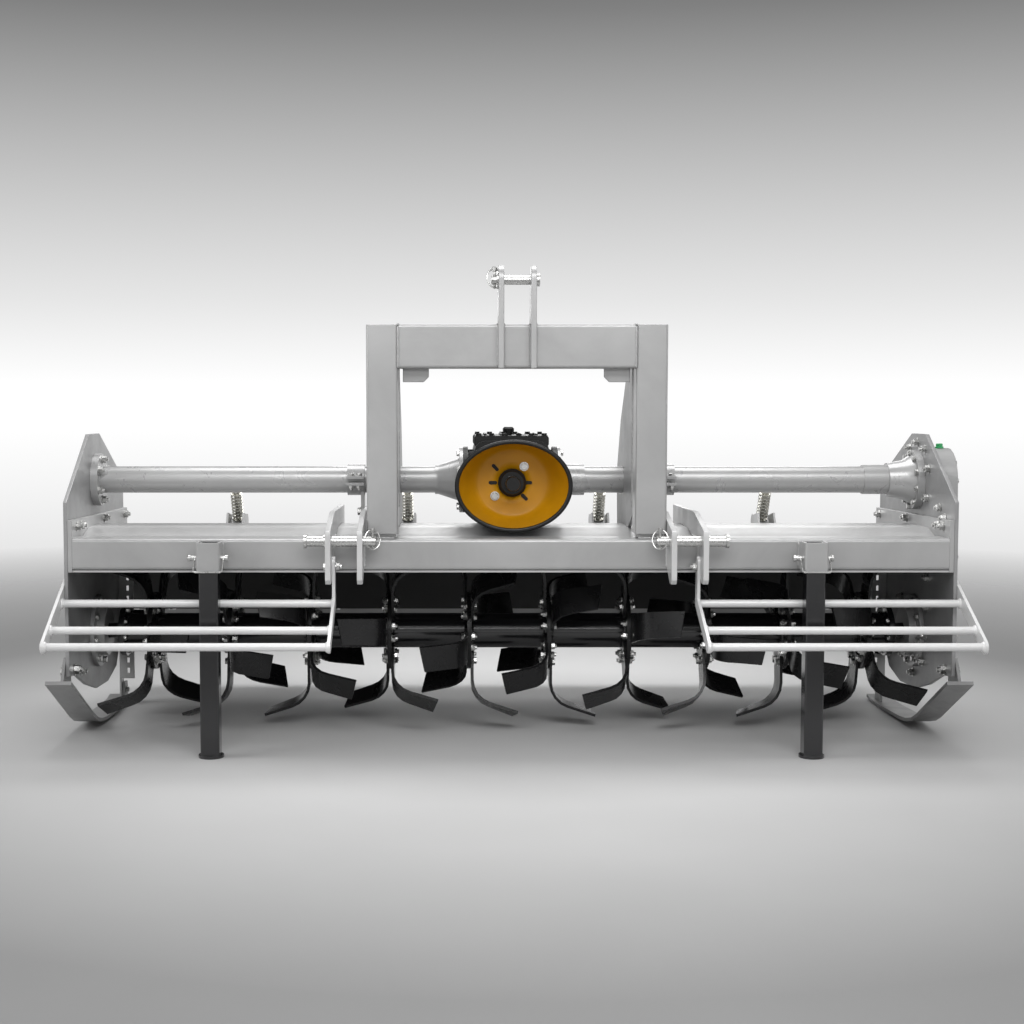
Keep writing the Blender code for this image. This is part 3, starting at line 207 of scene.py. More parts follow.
# Each lamp: name, place, what it points at, width, height, watts.
LAMPS = (
    ("lamp_front", (0.3, -3.6, 3.4), (0.0, 0.2, 0.45), 3.4, 1.6, 110.0),
    ("lamp_left", (-4.2, -1.4, 2.4), (-0.2, 0.2, 0.5), 2.2, 2.2, 75.0),
    ("lamp_right", (4.2, -1.2, 2.2), (0.2, 0.2, 0.5), 2.2, 2.2, 22.0),
    ("lamp_strip", (0.0, -4.0, 1.75), (0.0, 0.35, 0.3), 4.2, 0.12, 17.0),
    ("lamp_top", (0.0, 0.9, 4.0), (0.0, 0.3, 0.4), 3.2, 2.0, 110.0),
    ("lamp_rear", (0.6, 4.6, 2.2), (0.0, 0.3, 0.6), 3.0, 1.6, 45.0),
)
for name, place, target, wide, tall, power in LAMPS:
    lamp = bpy.data.lights.new(name, "AREA")
    lamp.shape = "RECTANGLE"
    lamp.size = wide
    lamp.size_y = tall
    lamp.energy = power
    holder = bpy.data.objects.new(name, lamp)
    holder.location = place
    holder.rotation_euler = (Vector(target) - Vector(place)).to_track_quat("-Z", "Y").to_euler()
    holder.visible_camera = False
    bpy.context.scene.collection.objects.link(holder)


# ---- Painted frame --------------------------------------------------------------------------
# Welded plate and box section in a silver-grey satin paint, a shade darker on the side plates
# and brighter on the guards. The paint has a fine orange peel, faint clouds and fine dust.
def paint(name, colour, roughness, metallic, cloud=0.10, peel=0.10, dust=0.12, coat=0.15,
          specular=0.5):
    """Sprayed paint with faint clouds, an orange peel and dust in its low places."""
    material, tree, shader, space = new_material(name)
    clouds = noise_of(tree, space, 3.5, 5.0, 0.6, 0.6)
    dark = tuple(c * (1 - cloud) for c in colour)
    light = tuple(min(1.0, c * (1 + cloud)) for c in colour)
    base = ramp_of(tree, clouds, [(0.32, dark), (0.68, light)])
    specks = ramp_of(tree, noise_of(tree, space, 190.0, 2.0, 0.7), [(0.60, 0.0), (0.74, 1.0)])
    level = tree.nodes.new("ShaderNodeMath")
    level.operation = "MULTIPLY"
    level.inputs[1].default_value = dust
    tree.links.new(specks, level.inputs[0])
    dusty = tuple(0.5 * c + 0.33 * max(colour) ** 0.5 for c in colour)
    base = blend_of(tree, level.outputs[0], base, dusty)
    tree.links.new(base, shader.inputs["Base Color"])
    wipe = noise_of(tree, space, 11.0, 6.0, 0.65, 1.2)
    gloss = ramp_of(tree, wipe, [(0.3, max(0.05, roughness - 0.07)),
                                 (0.7, min(1.0, roughness + 0.09))])
    tree.links.new(gloss, shader.inputs["Roughness"])
    shader.inputs["Metallic"].default_value = metallic
    shader.inputs["Specular IOR Level"].default_value = specular
    shader.inputs["Coat Weight"].default_value = coat
    shader.inputs["Coat Roughness"].default_value = 0.25
    ripple = bump_of(tree, shader, noise_of(tree, space, 260.0, 2.0, 0.5), peel, 0.0006)
    bump_of(tree, shader, noise_of(tree, space, 16.0, 2.0, 0.5), 0.05, 0.004, ripple)
    return material


def soften(piece, width, angle=38, segments=2):
    """Merge, flatten and lightly round a solid's edges."""
    weld = piece.modifiers.new("merge", "WELD")
    weld.merge_threshold = 0.00002
    flat = piece.modifiers.new("flatten", "DECIMATE")
    flat.decimate_type = "DISSOLVE"
    flat.angle_limit = radians(0.6)
    edge = piece.modifiers.new("edges", "BEVEL")
    edge.width = width
    edge.segments = segments
    edge.limit_method = "ANGLE"
    edge.angle_limit = radians(angle)
    edge.profile = 0.5
    even = piece.modifiers.new("even", "WEIGHTED_NORMAL")
    even.weight = 60


def finish(names, material, round_edges=0.0012):
    """Give CAD nodes a finish, and a small rounding to their cut edges."""
    for name in names:
        node = nodes[name]
        node.material_slots[0].material = material
        if round_edges:
            soften(node, round_edges)


FRAME_GREY = (0.365, 0.365, 0.365)
SIDE_GREY = (0.27, 0.27, 0.272)
frame_paint = paint("frame_paint_satin", FRAME_GREY, 0.36, 0.35)
side_paint = paint("side_paint_satin", SIDE_GREY, 0.42, 0.30, 0.18, 0.12, 0.20)
finish(["main_beam", "end_plate_left", "end_plate_right", "rotor_bearing_left",
        "rotor_bearing_right", "tailboard"], frame_paint)
finish(["side_plate_left", "side_plate_right"], side_paint)

# The hood is one folded sheet; its downward-facing faces are painted near black, a painted shade
# under the sheet.
HOOD_UNDERSIDE_SHADE = (0.048, 0.048, 0.048)
hood_paint = paint("hood_paint_satin", (0.43, 0.43, 0.43), 0.36, 0.20)
tree = hood_paint.node_tree
shader = tree.nodes["Principled BSDF"]
outer_colour = shader.inputs["Base Color"].links[0].from_socket
facing_way = tree.nodes.new("ShaderNodeSeparateXYZ")
tree.links.new(tree.nodes.new("ShaderNodeNewGeometry").outputs["True Normal"], facing_way.inputs[0])
lift = tree.nodes.new("ShaderNodeMath")
lift.operation = "ADD"
lift.inputs[1].default_value = 0.05
tree.links.new(facing_way.outputs["Z"], lift.inputs[0])
# Faces whose normal points downward take the near-black painted shade.
underside_shade_share = ramp_of(tree, lift.outputs[0], [(0.0, 1.0), (0.02, 0.0)])
tree.links.new(blend_of(tree, underside_shade_share, outer_colour, HOOD_UNDERSIDE_SHADE), shader.inputs["Base Color"])
finish(["hood"], hood_paint)


# ---- Fasteners of the side frame ------------------------------------------------------------
# Bright zinc hexagon bolts and nuts, each on a washer, with plain stud ends through the nuts. They
# hold the end plates, the round bearing housings and the gear case to the two side plates.
def metal(name, colour, roughness, grain, scale):
    """Plated or bare steel: fine grain along with a faint mottling."""
    material, tree, shader, space = new_material(name)
    dark = tuple(c * (1 - grain) for c in colour)
    base = ramp_of(tree, noise_of(tree, space, 45.0, 5.0, 0.65, 0.8), [(0.3, dark), (0.7, colour)])
    tree.links.new(base, shader.inputs["Base Color"])
    shader.inputs["Metallic"].default_value = 1.0
    wear = noise_of(tree, space, 120.0, 4.0, 0.6)
    gloss = ramp_of(tree, wear, [(0.3, roughness - 0.05), (0.7, roughness + 0.10)])
    tree.links.new(gloss, shader.inputs["Roughness"])
    bump_of(tree, shader, noise_of(tree, space, scale, 2.0, 0.5), 0.08, 0.0004)
    return material


def join_in(bm, unit, matrix):
    """Bring a finished shape to its place and add it to a piece."""
    bmesh.ops.transform(unit, matrix=matrix, verts=unit.verts)
    mesh = bpy.data.meshes.new("unit")
    unit.to_mesh(mesh)
    unit.free()
    bm.from_mesh(mesh)
    bpy.data.meshes.remove(mesh)


def facing(place, direction):
    """The matrix that stands a shape's own Z along a direction at a place."""
    turn = Vector(direction).to_track_quat("Z", "Y")
    return Matrix.Translation(place) @ turn.to_matrix().to_4x4()


def turn_profile(bm, profile, steps, place=(0, 0, 0), direction=(0, 0, 1)):
    """Spin (radius, along) points into a turned solid that stands at a place along a direction."""
    unit = bmesh.new()
    points = [unit.verts.new((radius, 0.0, along)) for radius, along in profile]
    edges = [unit.edges.new(pair) for pair in zip(points, points[1:])]
    bmesh.ops.spin(unit, geom=points + edges, cent=(0, 0, 0), axis=(0, 0, 1), angle=2 * pi,
                   steps=steps, use_merge=True)
    bmesh.ops.remove_doubles(unit, verts=unit.verts, dist=1e-6)
    join_in(bm, unit, facing(place, direction))


def hexagon(bm, low, high, across=0.87, chamfer=0.07):
    """A six-sided prism between two levels with its upper corners chamfered."""
    unit = bmesh.new()
    bmesh.ops.create_cone(unit, cap_ends=True, segments=6, radius1=across, radius2=across,
                          depth=high - low, matrix=Matrix.Translation((0, 0, (low + high) / 2)))
    rim = [e for e in unit.edges if all(abs(v.co.z - high) < 1e-5 for v in e.verts)]
    bmesh.ops.bevel(unit, geom=rim, offset=chamfer, segments=1, affect="EDGES", profile=0.5,
                    material=-1)
    join_in(bm, unit, Matrix.Identity(4))


def shape_of(bm, name):
    """Keep a bmesh as a unit shape that can be stamped many times."""
    mesh = bpy.data.meshes.new(name)
    bmesh.ops.recalc_face_normals(bm, faces=bm.faces)
    bm.to_mesh(mesh)
    bm.free()
    return mesh


# Both shapes are made for a thread half as thick as a unit, and are stamped at their real size.
WASHER, WASHER_TOP, WASHER_SIDES = [(0, 0), (1.08, 0), (1.08, 0.13), (0, 0.17)], 0.17, 14
BOLT_TOP, NUT_TOP = 0.80, 0.95
STUD, STUD_SIDES = [(0, 0.90), (0.48, 0.90), (0.48, 1.39), (0.41, 1.45), (0, 1.45)], 8
bm = bmesh.new()
turn_profile(bm, WASHER, WASHER_SIDES)
hexagon(bm, WASHER_TOP, BOLT_TOP)
BOLT = shape_of(bm, "bolt_shape")
bm = bmesh.new()
turn_profile(bm, WASHER, WASHER_SIDES)
hexagon(bm, WASHER_TOP, NUT_TOP)
turn_profile(bm, STUD, STUD_SIDES)
NUT = shape_of(bm, "nut_shape")


def stamp(bm, shape, place, direction, size, turn=0.0):
    """Add a scaled copy of a unit shape at a place, its own Z along a direction."""
    unit = bmesh.new()
    unit.from_mesh(shape)
    join_in(bm, unit, facing(place, direction) @ Matrix.Rotation(turn, 4, "Z")
            @ Matrix.Scale(size, 4))


def ring_places(x, y, z, radius, count, first=0.0):
    """Places round an axis along X."""
    turns = [first + 2 * pi * i / count for i in range(count)]
    return [(x, y + radius * cos(a), z + radius * sin(a)) for a in turns]


def close_piece(bm, name, material, body, sharp=32):
    """Finish a group of closed shapes as one piece that rides on a body."""
    bmesh.ops.recalc_face_normals(bm, faces=bm.faces)
    piece = add_piece(bm, name)
    piece.data.materials.append(material)
    piece.data.shade_smooth()
    piece.data.set_sharp_from_angle(angle=radians(sharp))
    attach(piece, body)
    return piece


def side_face(node, side):
    """How far out a CAD node's face lies from the side frame's middle, on one side."""
    low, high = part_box(node)
    return (high.x if side > 0 else low.x) - MIDDLE_X


zinc = metal("zinc_bright", (0.60, 0.60, 0.59), 0.27, 0.15, 300.0)
ROTOR_Y, ROTOR_Z = 0.350, 0.278
TUBE_Z = 0.716
PLATE_OUT = side_face("side_plate_right", 1)
PLATE_IN = side_face("side_plate_right", -1)
CASE_NUTS = ((0.228, 0.446), (0.226, 0.362), (0.232, 0.279), (0.262, 0.200), (0.351, 0.155),
             (0.440, 0.195), (0.470, 0.279), (0.473, 0.362), (0.468, 0.446), (0.232, 0.475),
             (0.462, 0.475), (0.350, 0.824), (0.278, 0.806), (0.422, 0.806), (0.238, 0.752),
             (0.462, 0.752), (0.244, 0.668), (0.456, 0.668), (0.130, 0.650), (0.085, 0.625))
END_BOLTS = ((0.105, 0.604), (0.405, 0.602), (0.690, 0.592), (0.060, 0.604))
bm = bmesh.new()
for side in (-1, 1):
    way = (side, 0, 0)
    back = (-side, 0, 0)
    inner = side * (PLATE_IN - 0.0005)
    for y, z in END_BOLTS:
        stamp(bm, BOLT, (side * PLATE_OUT, y, z), way, 0.0125, 0.3 + y * 7)
        stamp(bm, NUT, (side * (PLATE_IN - 0.0128), y, z), back, 0.0125, y * 9)
    ring_face = side * (PLATE_IN - 0.013)
    for place in ring_places(ring_face, ROTOR_Y, ROTOR_Z, 0.090, 8, 0.2):
        stamp(bm, BOLT, place, back, 0.0105, place[1] * 31)
    if side < 0:
        for place in ring_places(side * PLATE_OUT, ROTOR_Y, ROTOR_Z, 0.090, 8, 0.2):
            stamp(bm, NUT, place, way, 0.010, place[1] * 31)
        for place in ring_places(side * PLATE_OUT, ROTOR_Y, TUBE_Z, 0.060, 8, 0.39):
            stamp(bm, NUT, place, way, 0.009, place[1] * 31)
        stamp(bm, NUT, (inner, 0.136, 0.195), back, 0.012, 0.4)
    else:
        for y, z in CASE_NUTS:
            stamp(bm, NUT, (inner, y, z), back, 0.0120, y * 17)
close_piece(bm, "side_frame_fasteners", zinc, "frame")

# ---- Headstock ------------------------------------------------------------------------------
# Two square posts and a crossbeam of folded plate with a tapering stay behind each post and two
# top link lugs. They are welded, and the rippled beads run down the joints under the paint.
def weld_line(bm, first, last, size=0.0042):
    """A rippled weld bead between two places."""
    first, last = Vector(first), Vector(last)
    span = (last - first).length
    steps = max(4, int(span / 0.0045))
    profile = [(0, 0)]
    for k in range(steps + 1):
        swell = 0.86 + 0.14 * sin(k * 2.1) + 0.06 * sin(k * 0.77 + span * 40)
        profile.append((size * (0.6 if k in (0, steps) else swell),
                        span * (0.01 + 0.98 * k / steps)))
    turn_profile(bm, profile + [(0, span)], 7, first, last - first)


HITCH_X = side_face("headstock_crossbeam", 1) / 2 + side_face("headstock_crossbeam", -1) / 2
POST_IN, POST_OUT = 0.317, 0.401
HEAD_TOP, CROSS_LOW, BEAM_TOP = 1.145, 1.0285, 0.576
finish(["headstock_post_left", "headstock_post_right", "headstock_crossbeam", "top_link_lug_left",
        "top_link_lug_right"], frame_paint, 0.0020)
finish(["headstock_stay_left", "headstock_stay_right"], side_paint)
bm = bmesh.new()
for side in (-1, 1):
    near, far = HITCH_X + side * (POST_IN - 0.001), HITCH_X + side * POST_OUT
    for y in (0.0055, 0.083):
        weld_line(bm, (near, y, CROSS_LOW), (near, y, HEAD_TOP - 0.004))
    weld_line(bm, (near, 0.006, HEAD_TOP), (near, 0.082, HEAD_TOP))
    weld_line(bm, (near - side * 0.012, 0.047, CROSS_LOW), (near - side * 0.078, 0.047, CROSS_LOW),
              0.003)
    weld_line(bm, (near + side * 0.010, 0.018, BEAM_TOP), (far - side * 0.010, 0.018, BEAM_TOP),
              0.005)
    weld_line(bm, (near + side * 0.002, 0.0845, 0.65), (near + side * 0.002, 0.0845, 1.11), 0.0045)
    weld_line(bm, (near + side * 0.0135, 0.0845, 0.65), (near + side * 0.0135, 0.0845, 1.11),
              0.0045)
    for x in (HITCH_X + side * 0.0350, HITCH_X + side * 0.0512):
        weld_line(bm, (x, 0.0045, CROSS_LOW + 0.004), (x, 0.0045, HEAD_TOP - 0.004), 0.0035)
        weld_line(bm, (x, 0.008, HEAD_TOP + 0.0006), (x, 0.070, HEAD_TOP + 0.0006), 0.0035)
close_piece(bm, "headstock_welds", frame_paint, "frame", 60)


# ---- Top link pin and its lynch pin ---------------------------------------------------------
# A zinc-plated 25 mm pin with a turned head. A lynch pin with a sprung wire ring goes through
# its tail.
def lynch_pin(bm, place, turn=0.0, reach=0.024):
    """A lynch pin standing along Z through a place, its ring swung down in front."""
    x, y, z = place
    turn_profile(bm, [(0, -reach), (0.003, -reach + 0.002), (0.0038, -reach + 0.004),
                      (0.0038, reach - 0.002), (0.0065, reach - 0.001), (0.0070, reach + 0.008),
                      (0.005, reach + 0.011), (0, reach + 0.011)], 12, place)
    ring = bmesh.new()
    bmesh.ops.create_circle(ring, segments=8, radius=0.0019,
                            matrix=Matrix.Translation((0.021, 0, 0))
                            @ Matrix.Rotation(pi / 2, 4, "X"))
    bmesh.ops.spin(ring, geom=ring.verts[:] + ring.edges[:], cent=(0, 0, 0), axis=(0, 0, 1),
                   angle=2 * pi, steps=28, use_merge=True)
    swing = Matrix.Rotation(turn, 4, "Z") @ Matrix.Rotation(radians(78), 4, "X")
    join_in(bm, ring, Matrix.Translation((x, y, z + 0.004)) @ swing
            @ Matrix.Diagonal((1, 1.22, 1, 1)))


TOP_PIN = (0.014, 1.262)
finish(["top_link_pin"], zinc, 0.0006)
bm = bmesh.new()
tail = side_face("top_link_pin", -1)
lynch_pin(bm, (tail + 0.009, *TOP_PIN), 0.3)
turn_profile(bm, [(0.0, 0.0), (0.0235, 0.0), (0.0235, 0.003), (0.0, 0.003)], 24,
             (side_face("top_link_lug_left", -1) - 0.0035, *TOP_PIN), (1, 0, 0))
close_piece(bm, "top_link_lynch_pin", zinc, "frame")

# ---- Lower links ----------------------------------------------------------------------------
# Two pairs of thick flame-cut plates welded over the beam, each pair with a collared zinc pin,
# a lynch pin through its inner tail, and a cap on its outer stub.
LINKS = ["lower_link_plate_inner_left", "lower_link_plate_outer_left",
         "lower_link_plate_inner_right", "lower_link_plate_outer_right"]
link_paint = paint("link_paint_satin", (0.54, 0.54, 0.54), 0.36, 0.30)
finish(LINKS, link_paint)
finish(["lower_link_pin_left", "lower_link_pin_right"], zinc, 0.0006)
LINK_PIN = (-0.050, 0.573)
bm = bmesh.new()
for side, name in ((-1, "left"), (1, "right")):
    inner = side_face(f"lower_link_pin_{name}", -side)
    lynch_pin(bm, (inner + side * 0.011, *LINK_PIN), -0.4 * side)
close_piece(bm, "lower_link_lynch_pins", zinc, "frame")
bm = bmesh.new()
for name in LINKS:
    for end in (-1, 1):
        x = side_face(name, end)
        weld_line(bm, (x, 0.004, BEAM_TOP), (x, 0.096, BEAM_TOP), 0.0048)
        weld_line(bm, (x, -0.0005, 0.500), (x, -0.0005, 0.568), 0.0045)
close_piece(bm, "lower_link_welds", link_paint, "frame", 60)

# ---- Gearbox --------------------------------------------------------------------------------
# A rough black casting with ribbed sides, a bolted top cover with a breather, and a round boss on
# its face where the power shaft enters. Bolts on each side hold the flanges of the two tubes.
cast_black = paint("cast_black_rough", (0.010, 0.010, 0.010), 0.45, 0.0, 0.3, 0.8, 0.06, 0.0, 0.35)
finish(["gearbox"], cast_black, 0.003)
box_low, box_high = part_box("gearbox")
GEAR_X = (box_low.x + box_high.x) / 2 - MIDDLE_X
GEAR_HALF, GEAR_TOP = 0.105, 0.845


def rib(bm, low, high):
    """A cast rib between two corners, its long edges rounded."""
    ends = [sorted(pair) for pair in zip(low, high)]
    size = Vector(pair[1] - pair[0] for pair in ends)
    middle = Vector((pair[1] + pair[0]) / 2 for pair in ends)
    unit = bmesh.new()
    bmesh.ops.create_cube(unit, size=1.0, matrix=Matrix.Diagonal((*size, 1.0)))
    bmesh.ops.bevel(unit, geom=unit.edges[:], offset=0.3 * min(size), segments=2, affect="EDGES",
                    profile=0.5, material=-1)
    join_in(bm, unit, Matrix.Translation(middle))


bm = bmesh.new()
for side in (-1, 1):
    for y in (0.235, 0.455):
        rib(bm, (GEAR_X + side * (GEAR_HALF - 0.006), y - 0.006, 0.645),
            (GEAR_X + side * (GEAR_HALF + 0.016), y + 0.006, 0.800))
    rib(bm, (GEAR_X + side * 0.060 - 0.005, 0.182, 0.640),
        (GEAR_X + side * 0.060 + 0.005, 0.200, 0.665))
for x in (-0.072, -0.026, 0.026, 0.072):
    rib(bm, (GEAR_X + x - 0.004, 0.262, GEAR_TOP - 0.004),
        (GEAR_X + x + 0.004, 0.428, GEAR_TOP + 0.005))
turn_profile(bm, [(0, 0), (0.013, 0), (0.013, 0.007), (0.016, 0.008), (0.0165, 0.017),
                  (0.012, 0.022), (0, 0.022)], 20, (GEAR_X - 0.005, 0.33, GEAR_TOP + 0.001))
turn_profile(bm, [(0, 0), (0.086, 0), (0.088, 0.002), (0.088, 0.007), (0.083, 0.010),
                  (0.060, 0.010), (0, 0.010)], 48, (GEAR_X, 0.1885, TUBE_Z), (0, -1, 0))
for x in (-0.092, -0.056, -0.019, 0.019, 0.056, 0.092):
    for y in (0.232, 0.458):
        stamp(bm, BOLT, (GEAR_X + x, y, GEAR_TOP - 0.0002), (0, 0, 1), 0.0090, x * 40 + y)
        rib(bm, (GEAR_X + x - 0.013, y - 0.011, GEAR_TOP - 0.030),
            (GEAR_X + x + 0.013, y + 0.011, GEAR_TOP - 0.0004))
close_piece(bm, "gearbox_ribs", cast_black, "frame")

bm = bmesh.new()
left_face = side_face("cross_tube_left", 1) - 0.0105
right_face = side_face("drive_tube_right", -1) + 0.0085
for face, way in ((left_face, -1), (right_face, 1)):
    for place in ring_places(face, ROTOR_Y, TUBE_Z, 0.083, 8, 0.39):
        stamp(bm, BOLT, place, (way, 0, 0), 0.0095, place[1] * 60)
close_piece(bm, "gearbox_bolts", zinc, "frame")

# ---- Cross tube, drive tube and clamps ------------------------------------------------------
# Drawn tubes from the gearbox to the side plates: a carrier tube on the left with a flange, and
# the drive shaft's tube on the right with a bell. A split clamp on each link pair grips them.
tube_paint = paint("tube_paint_satin", (0.38, 0.38, 0.38), 0.30, 0.30, 0.04, 0.03, 0.03)
finish(["cross_tube_left", "drive_tube_right", "tube_clamp_left", "tube_clamp_right"], tube_paint,
       0.0012)
bm = bmesh.new()
flange = side_face("cross_tube_left", -1) + 0.0205
for place in ring_places(flange, ROTOR_Y, TUBE_Z, 0.058, 6, 0.52):
    stamp(bm, NUT, place, (1, 0, 0), 0.0120, place[1] * 60)
bell = side_face("drive_tube_right", 1) - 0.0205
for place in ring_places(bell, ROTOR_Y, TUBE_Z, 0.0770, 10, 0.31):
    stamp(bm, BOLT, place, (-1, 0, 0), 0.0095, place[1] * 60)
for side, name in ((-1, "left"), (1, "right")):
    ends = sorted((side_face(f"tube_clamp_{name}", -1), side_face(f"tube_clamp_{name}", 1)))
    for x in (ends[0] + 0.014, ends[1] - 0.014):
        stamp(bm, BOLT, (x, 0.290, TUBE_Z + 0.0136), (0, 0, 1), 0.0095, x * 9)
        stamp(bm, NUT, (x, 0.290, TUBE_Z - 0.0136), (0, 0, -1), 0.0095, x * 5)
    near = ends[0] if side > 0 else ends[1]
    stamp(bm, BOLT, (near + side * 0.0115, ROTOR_Y - 0.012, 0.625), (side, 0, 0), 0.0125, 0.2)
    stamp(bm, NUT, (side_face(f"lower_link_plate_inner_{name}", -side), ROTOR_Y - 0.012, 0.625),
          (-side, 0, 0), 0.0125, 0.7)
close_piece(bm, "tube_fasteners", zinc, "frame")

# ---- Side drive case ------------------------------------------------------------------------
# The gear case outside the right side plate: a cast body with a cover bolted round its edge,
# closed by a green plastic filler plug at the top and a steel drain plug at the bottom.
finish(["side_drive_case"], frame_paint)
CASE_OUT = side_face("side_drive_case", 1)
CASE_SEAT = CASE_OUT - 0.0004
bm = bmesh.new()
cover_bolts = []
for first, count, radius, z in ((pi, 7, 0.090, ROTOR_Z), (0.0, 5, 0.070, TUBE_Z)):
    for k in range(count):
        a = first + pi * k / (count - 1)
        cover_bolts.append((CASE_SEAT, ROTOR_Y + radius * cos(a), z + radius * sin(a)))
for z in (0.385, 0.500, 0.610):
    for side in (-1, 1):
        cover_bolts.append((CASE_SEAT, ROTOR_Y + side * (0.0895 - 0.046 * (z - ROTOR_Z)), z))
for place in cover_bolts:
    stamp(bm, BOLT, place, (1, 0, 0), 0.0088, place[1] * 40)
stamp(bm, BOLT, (CASE_OUT - 0.030, ROTOR_Y, ROTOR_Z - 0.1118), (0, 0, -1), 0.012)
close_piece(bm, "drive_case_bolts", zinc, "frame")
bm = bmesh.new()
for y, z, radius in ((ROTOR_Y, ROTOR_Z, 0.060), (ROTOR_Y, TUBE_Z, 0.044)):
    turn_profile(bm, [(0, 0), (radius, 0), (radius, 0.003), (radius - 0.004, 0.006),
                      (radius - 0.016, 0.006), (radius - 0.018, 0.003), (0, 0.003)], 48,
                 (CASE_SEAT, y, z), (1, 0, 0))
close_piece(bm, "drive_case_bosses", frame_paint, "frame")
green_plastic = paint("green_plug_plastic", (0.03, 0.30, 0.10), 0.35, 0.0, 0.05, 0.03, 0.0)
bm = bmesh.new()
turn_profile(bm, [(0, 0), (0.012, 0), (0.012, 0.004), (0.0095, 0.005), (0.0095, 0.012),
                  (0.008, 0.0135), (0, 0.0135)], 20, (CASE_OUT - 0.028, ROTOR_Y, TUBE_Z + 0.0905))
close_piece(bm, "drive_case_filler_plug", green_plastic, "frame")

# ---- Power shaft and its shield -------------------------------------------------------------
# The oval shield is one moulded plastic bell, yellow-orange inside and black outside, with a
# rolled black rim. Its back plate is screwed to the gearbox round the shaft's rubber seal.
SHIELD_ROWS = ((0.0640, 0.1530, 0.1190, 0.004), (0.0700, 0.1515, 0.1180, 0.004),
               (0.0900, 0.1480, 0.1160, 0.004), (0.1180, 0.1400, 0.1130, 0.002),
               (0.1450, 0.1270, 0.1070, 0.0), (0.1640, 0.1120, 0.1000, 0.0),
               (0.1740, 0.1010, 0.0940, 0.0), (0.1765, 0.0930, 0.0880, 0.0),
               (0.1765, 0.0600, 0.0600, 0.0), (0.1765, 0.0385, 0.0385, 0.0))
SHIELD_SEGMENTS = 80
SHIELD_WALL = 0.0035
SHIELD_BACK = 0.1762


def oval_shell(bm, rows):
    """Extrude an oval loop through rows of (depth, half width, half height, drop)."""
    bmesh.ops.create_circle(bm, segments=SHIELD_SEGMENTS, radius=1.0)
    loop = bm.verts[:]
    angles = [atan2(v.co.y, v.co.x) for v in loop]
    edges = list({e for v in loop for e in v.link_edges})
    for number, (y, half_wide, half_tall, drop) in enumerate(rows):
        if number:
            made = bmesh.ops.extrude_edge_only(bm, edges=edges)["geom"]
            edges = [g for g in made if isinstance(g, bmesh.types.BMEdge)]
            copies = [g for g in made if isinstance(g, bmesh.types.BMVert)]
            links = {}
            for vert in copies:
                for edge in vert.link_edges:
                    other = edge.other_vert(vert)
                    if other in before:
                        links[before[other]] = vert
            loop = [links[k] for k in range(len(angles))]
        before = {vert: k for k, vert in enumerate(loop)}
        for vert, a in zip(loop, angles):
            vert.co = (GEAR_X + half_wide * cos(a), y, TUBE_Z - drop + half_tall * sin(a))


def plastic(name, colour, roughness, grain):
    """Moulded plastic: an even colour with a fine spark-eroded grain."""
    material, tree, shader, space = new_material(name)
    deep = tuple(c * 0.86 for c in colour)
    base = ramp_of(tree, noise_of(tree, space, 9.0, 4.0, 0.6), [(0.35, deep), (0.65, colour)])
    tree.links.new(base, shader.inputs["Base Color"])
    gloss = ramp_of(tree, noise_of(tree, space, 30.0, 3.0, 0.6),
                    [(0.3, roughness), (0.7, roughness + 0.08)])
    tree.links.new(gloss, shader.inputs["Roughness"])
    shader.inputs["Specular IOR Level"].default_value = 0.35
    bump_of(tree, shader, noise_of(tree, space, 700.0, 2.0, 0.6), grain, 0.0004)
    return material


orange = plastic("shield_orange_plastic", (0.50, 0.235, 0.002), 0.36, 0.08)
black_plastic = plastic("shield_black_plastic", (0.006, 0.006, 0.006), 0.32, 0.12)
bm = bmesh.new()
oval_shell(bm, SHIELD_ROWS)
bmesh.ops.recalc_face_normals(bm, faces=bm.faces)
SHIELD_FLANK = Vector((GEAR_X + 0.15, 0.08, TUBE_Z))
nearest = min(bm.faces, key=lambda f: (f.calc_center_median() - SHIELD_FLANK).length)
if nearest.normal.x > 0:
    bmesh.ops.reverse_faces(bm, faces=bm.faces)
shield = add_piece(bm, "pto_shield_bell")
for material in (orange, black_plastic):
    shield.data.materials.append(material)
wall = shield.modifiers.new("wall", "SOLIDIFY")
wall.thickness = SHIELD_WALL
wall.offset = -1.0
wall.material_offset = 1
shield.data.shade_smooth()
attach(shield, "frame")
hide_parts("pto_shield")

bm = bmesh.new()
rim_rows = []
for k in range(11):
    a = 2 * pi * k / 10
    rim_rows.append((0.0660 - 0.0050 * cos(a), 0.1540 + 0.0062 * sin(a), 0.1200 + 0.0062 * sin(a),
                     0.004))
oval_shell(bm, rim_rows)
bmesh.ops.remove_doubles(bm, verts=bm.verts, dist=1e-6)
close_piece(bm, "pto_shield_rim", black_plastic, "frame", 70)

bm = bmesh.new()
for x, z, turn in ((-0.047, 0.042, 0.8), (0.034, -0.040, 0.8), (-0.0535, 0.0, 0.0),
                   (0.0435, 0.0, 0.0)):
    unit = bmesh.new()
    bmesh.ops.create_cone(unit, cap_ends=True, segments=20, radius1=0.0050, radius2=0.0050,
                          depth=0.0016)
    for vert in unit.verts:
        vert.co.x += 0.007 if vert.co.x > 0 else -0.007
    join_in(bm, unit, Matrix.Translation((GEAR_X + x, SHIELD_BACK, TUBE_Z + z))
            @ Matrix.Rotation(turn, 4, "Y") @ Matrix.Rotation(pi / 2, 4, "X"))
turn_profile(bm, [(0.020, 0), (0.039, 0), (0.039, 0.006), (0.034, 0.010), (0.026, 0.010),
                  (0.022, 0.006), (0.020, 0.006)], 40, (GEAR_X, 0.1765, TUBE_Z), (0, -1, 0))
rubber = plastic("seal_rubber", (0.010, 0.010, 0.010), 0.60, 0.2)
close_piece(bm, "pto_seal_and_slots", rubber, "frame")
bm = bmesh.new()
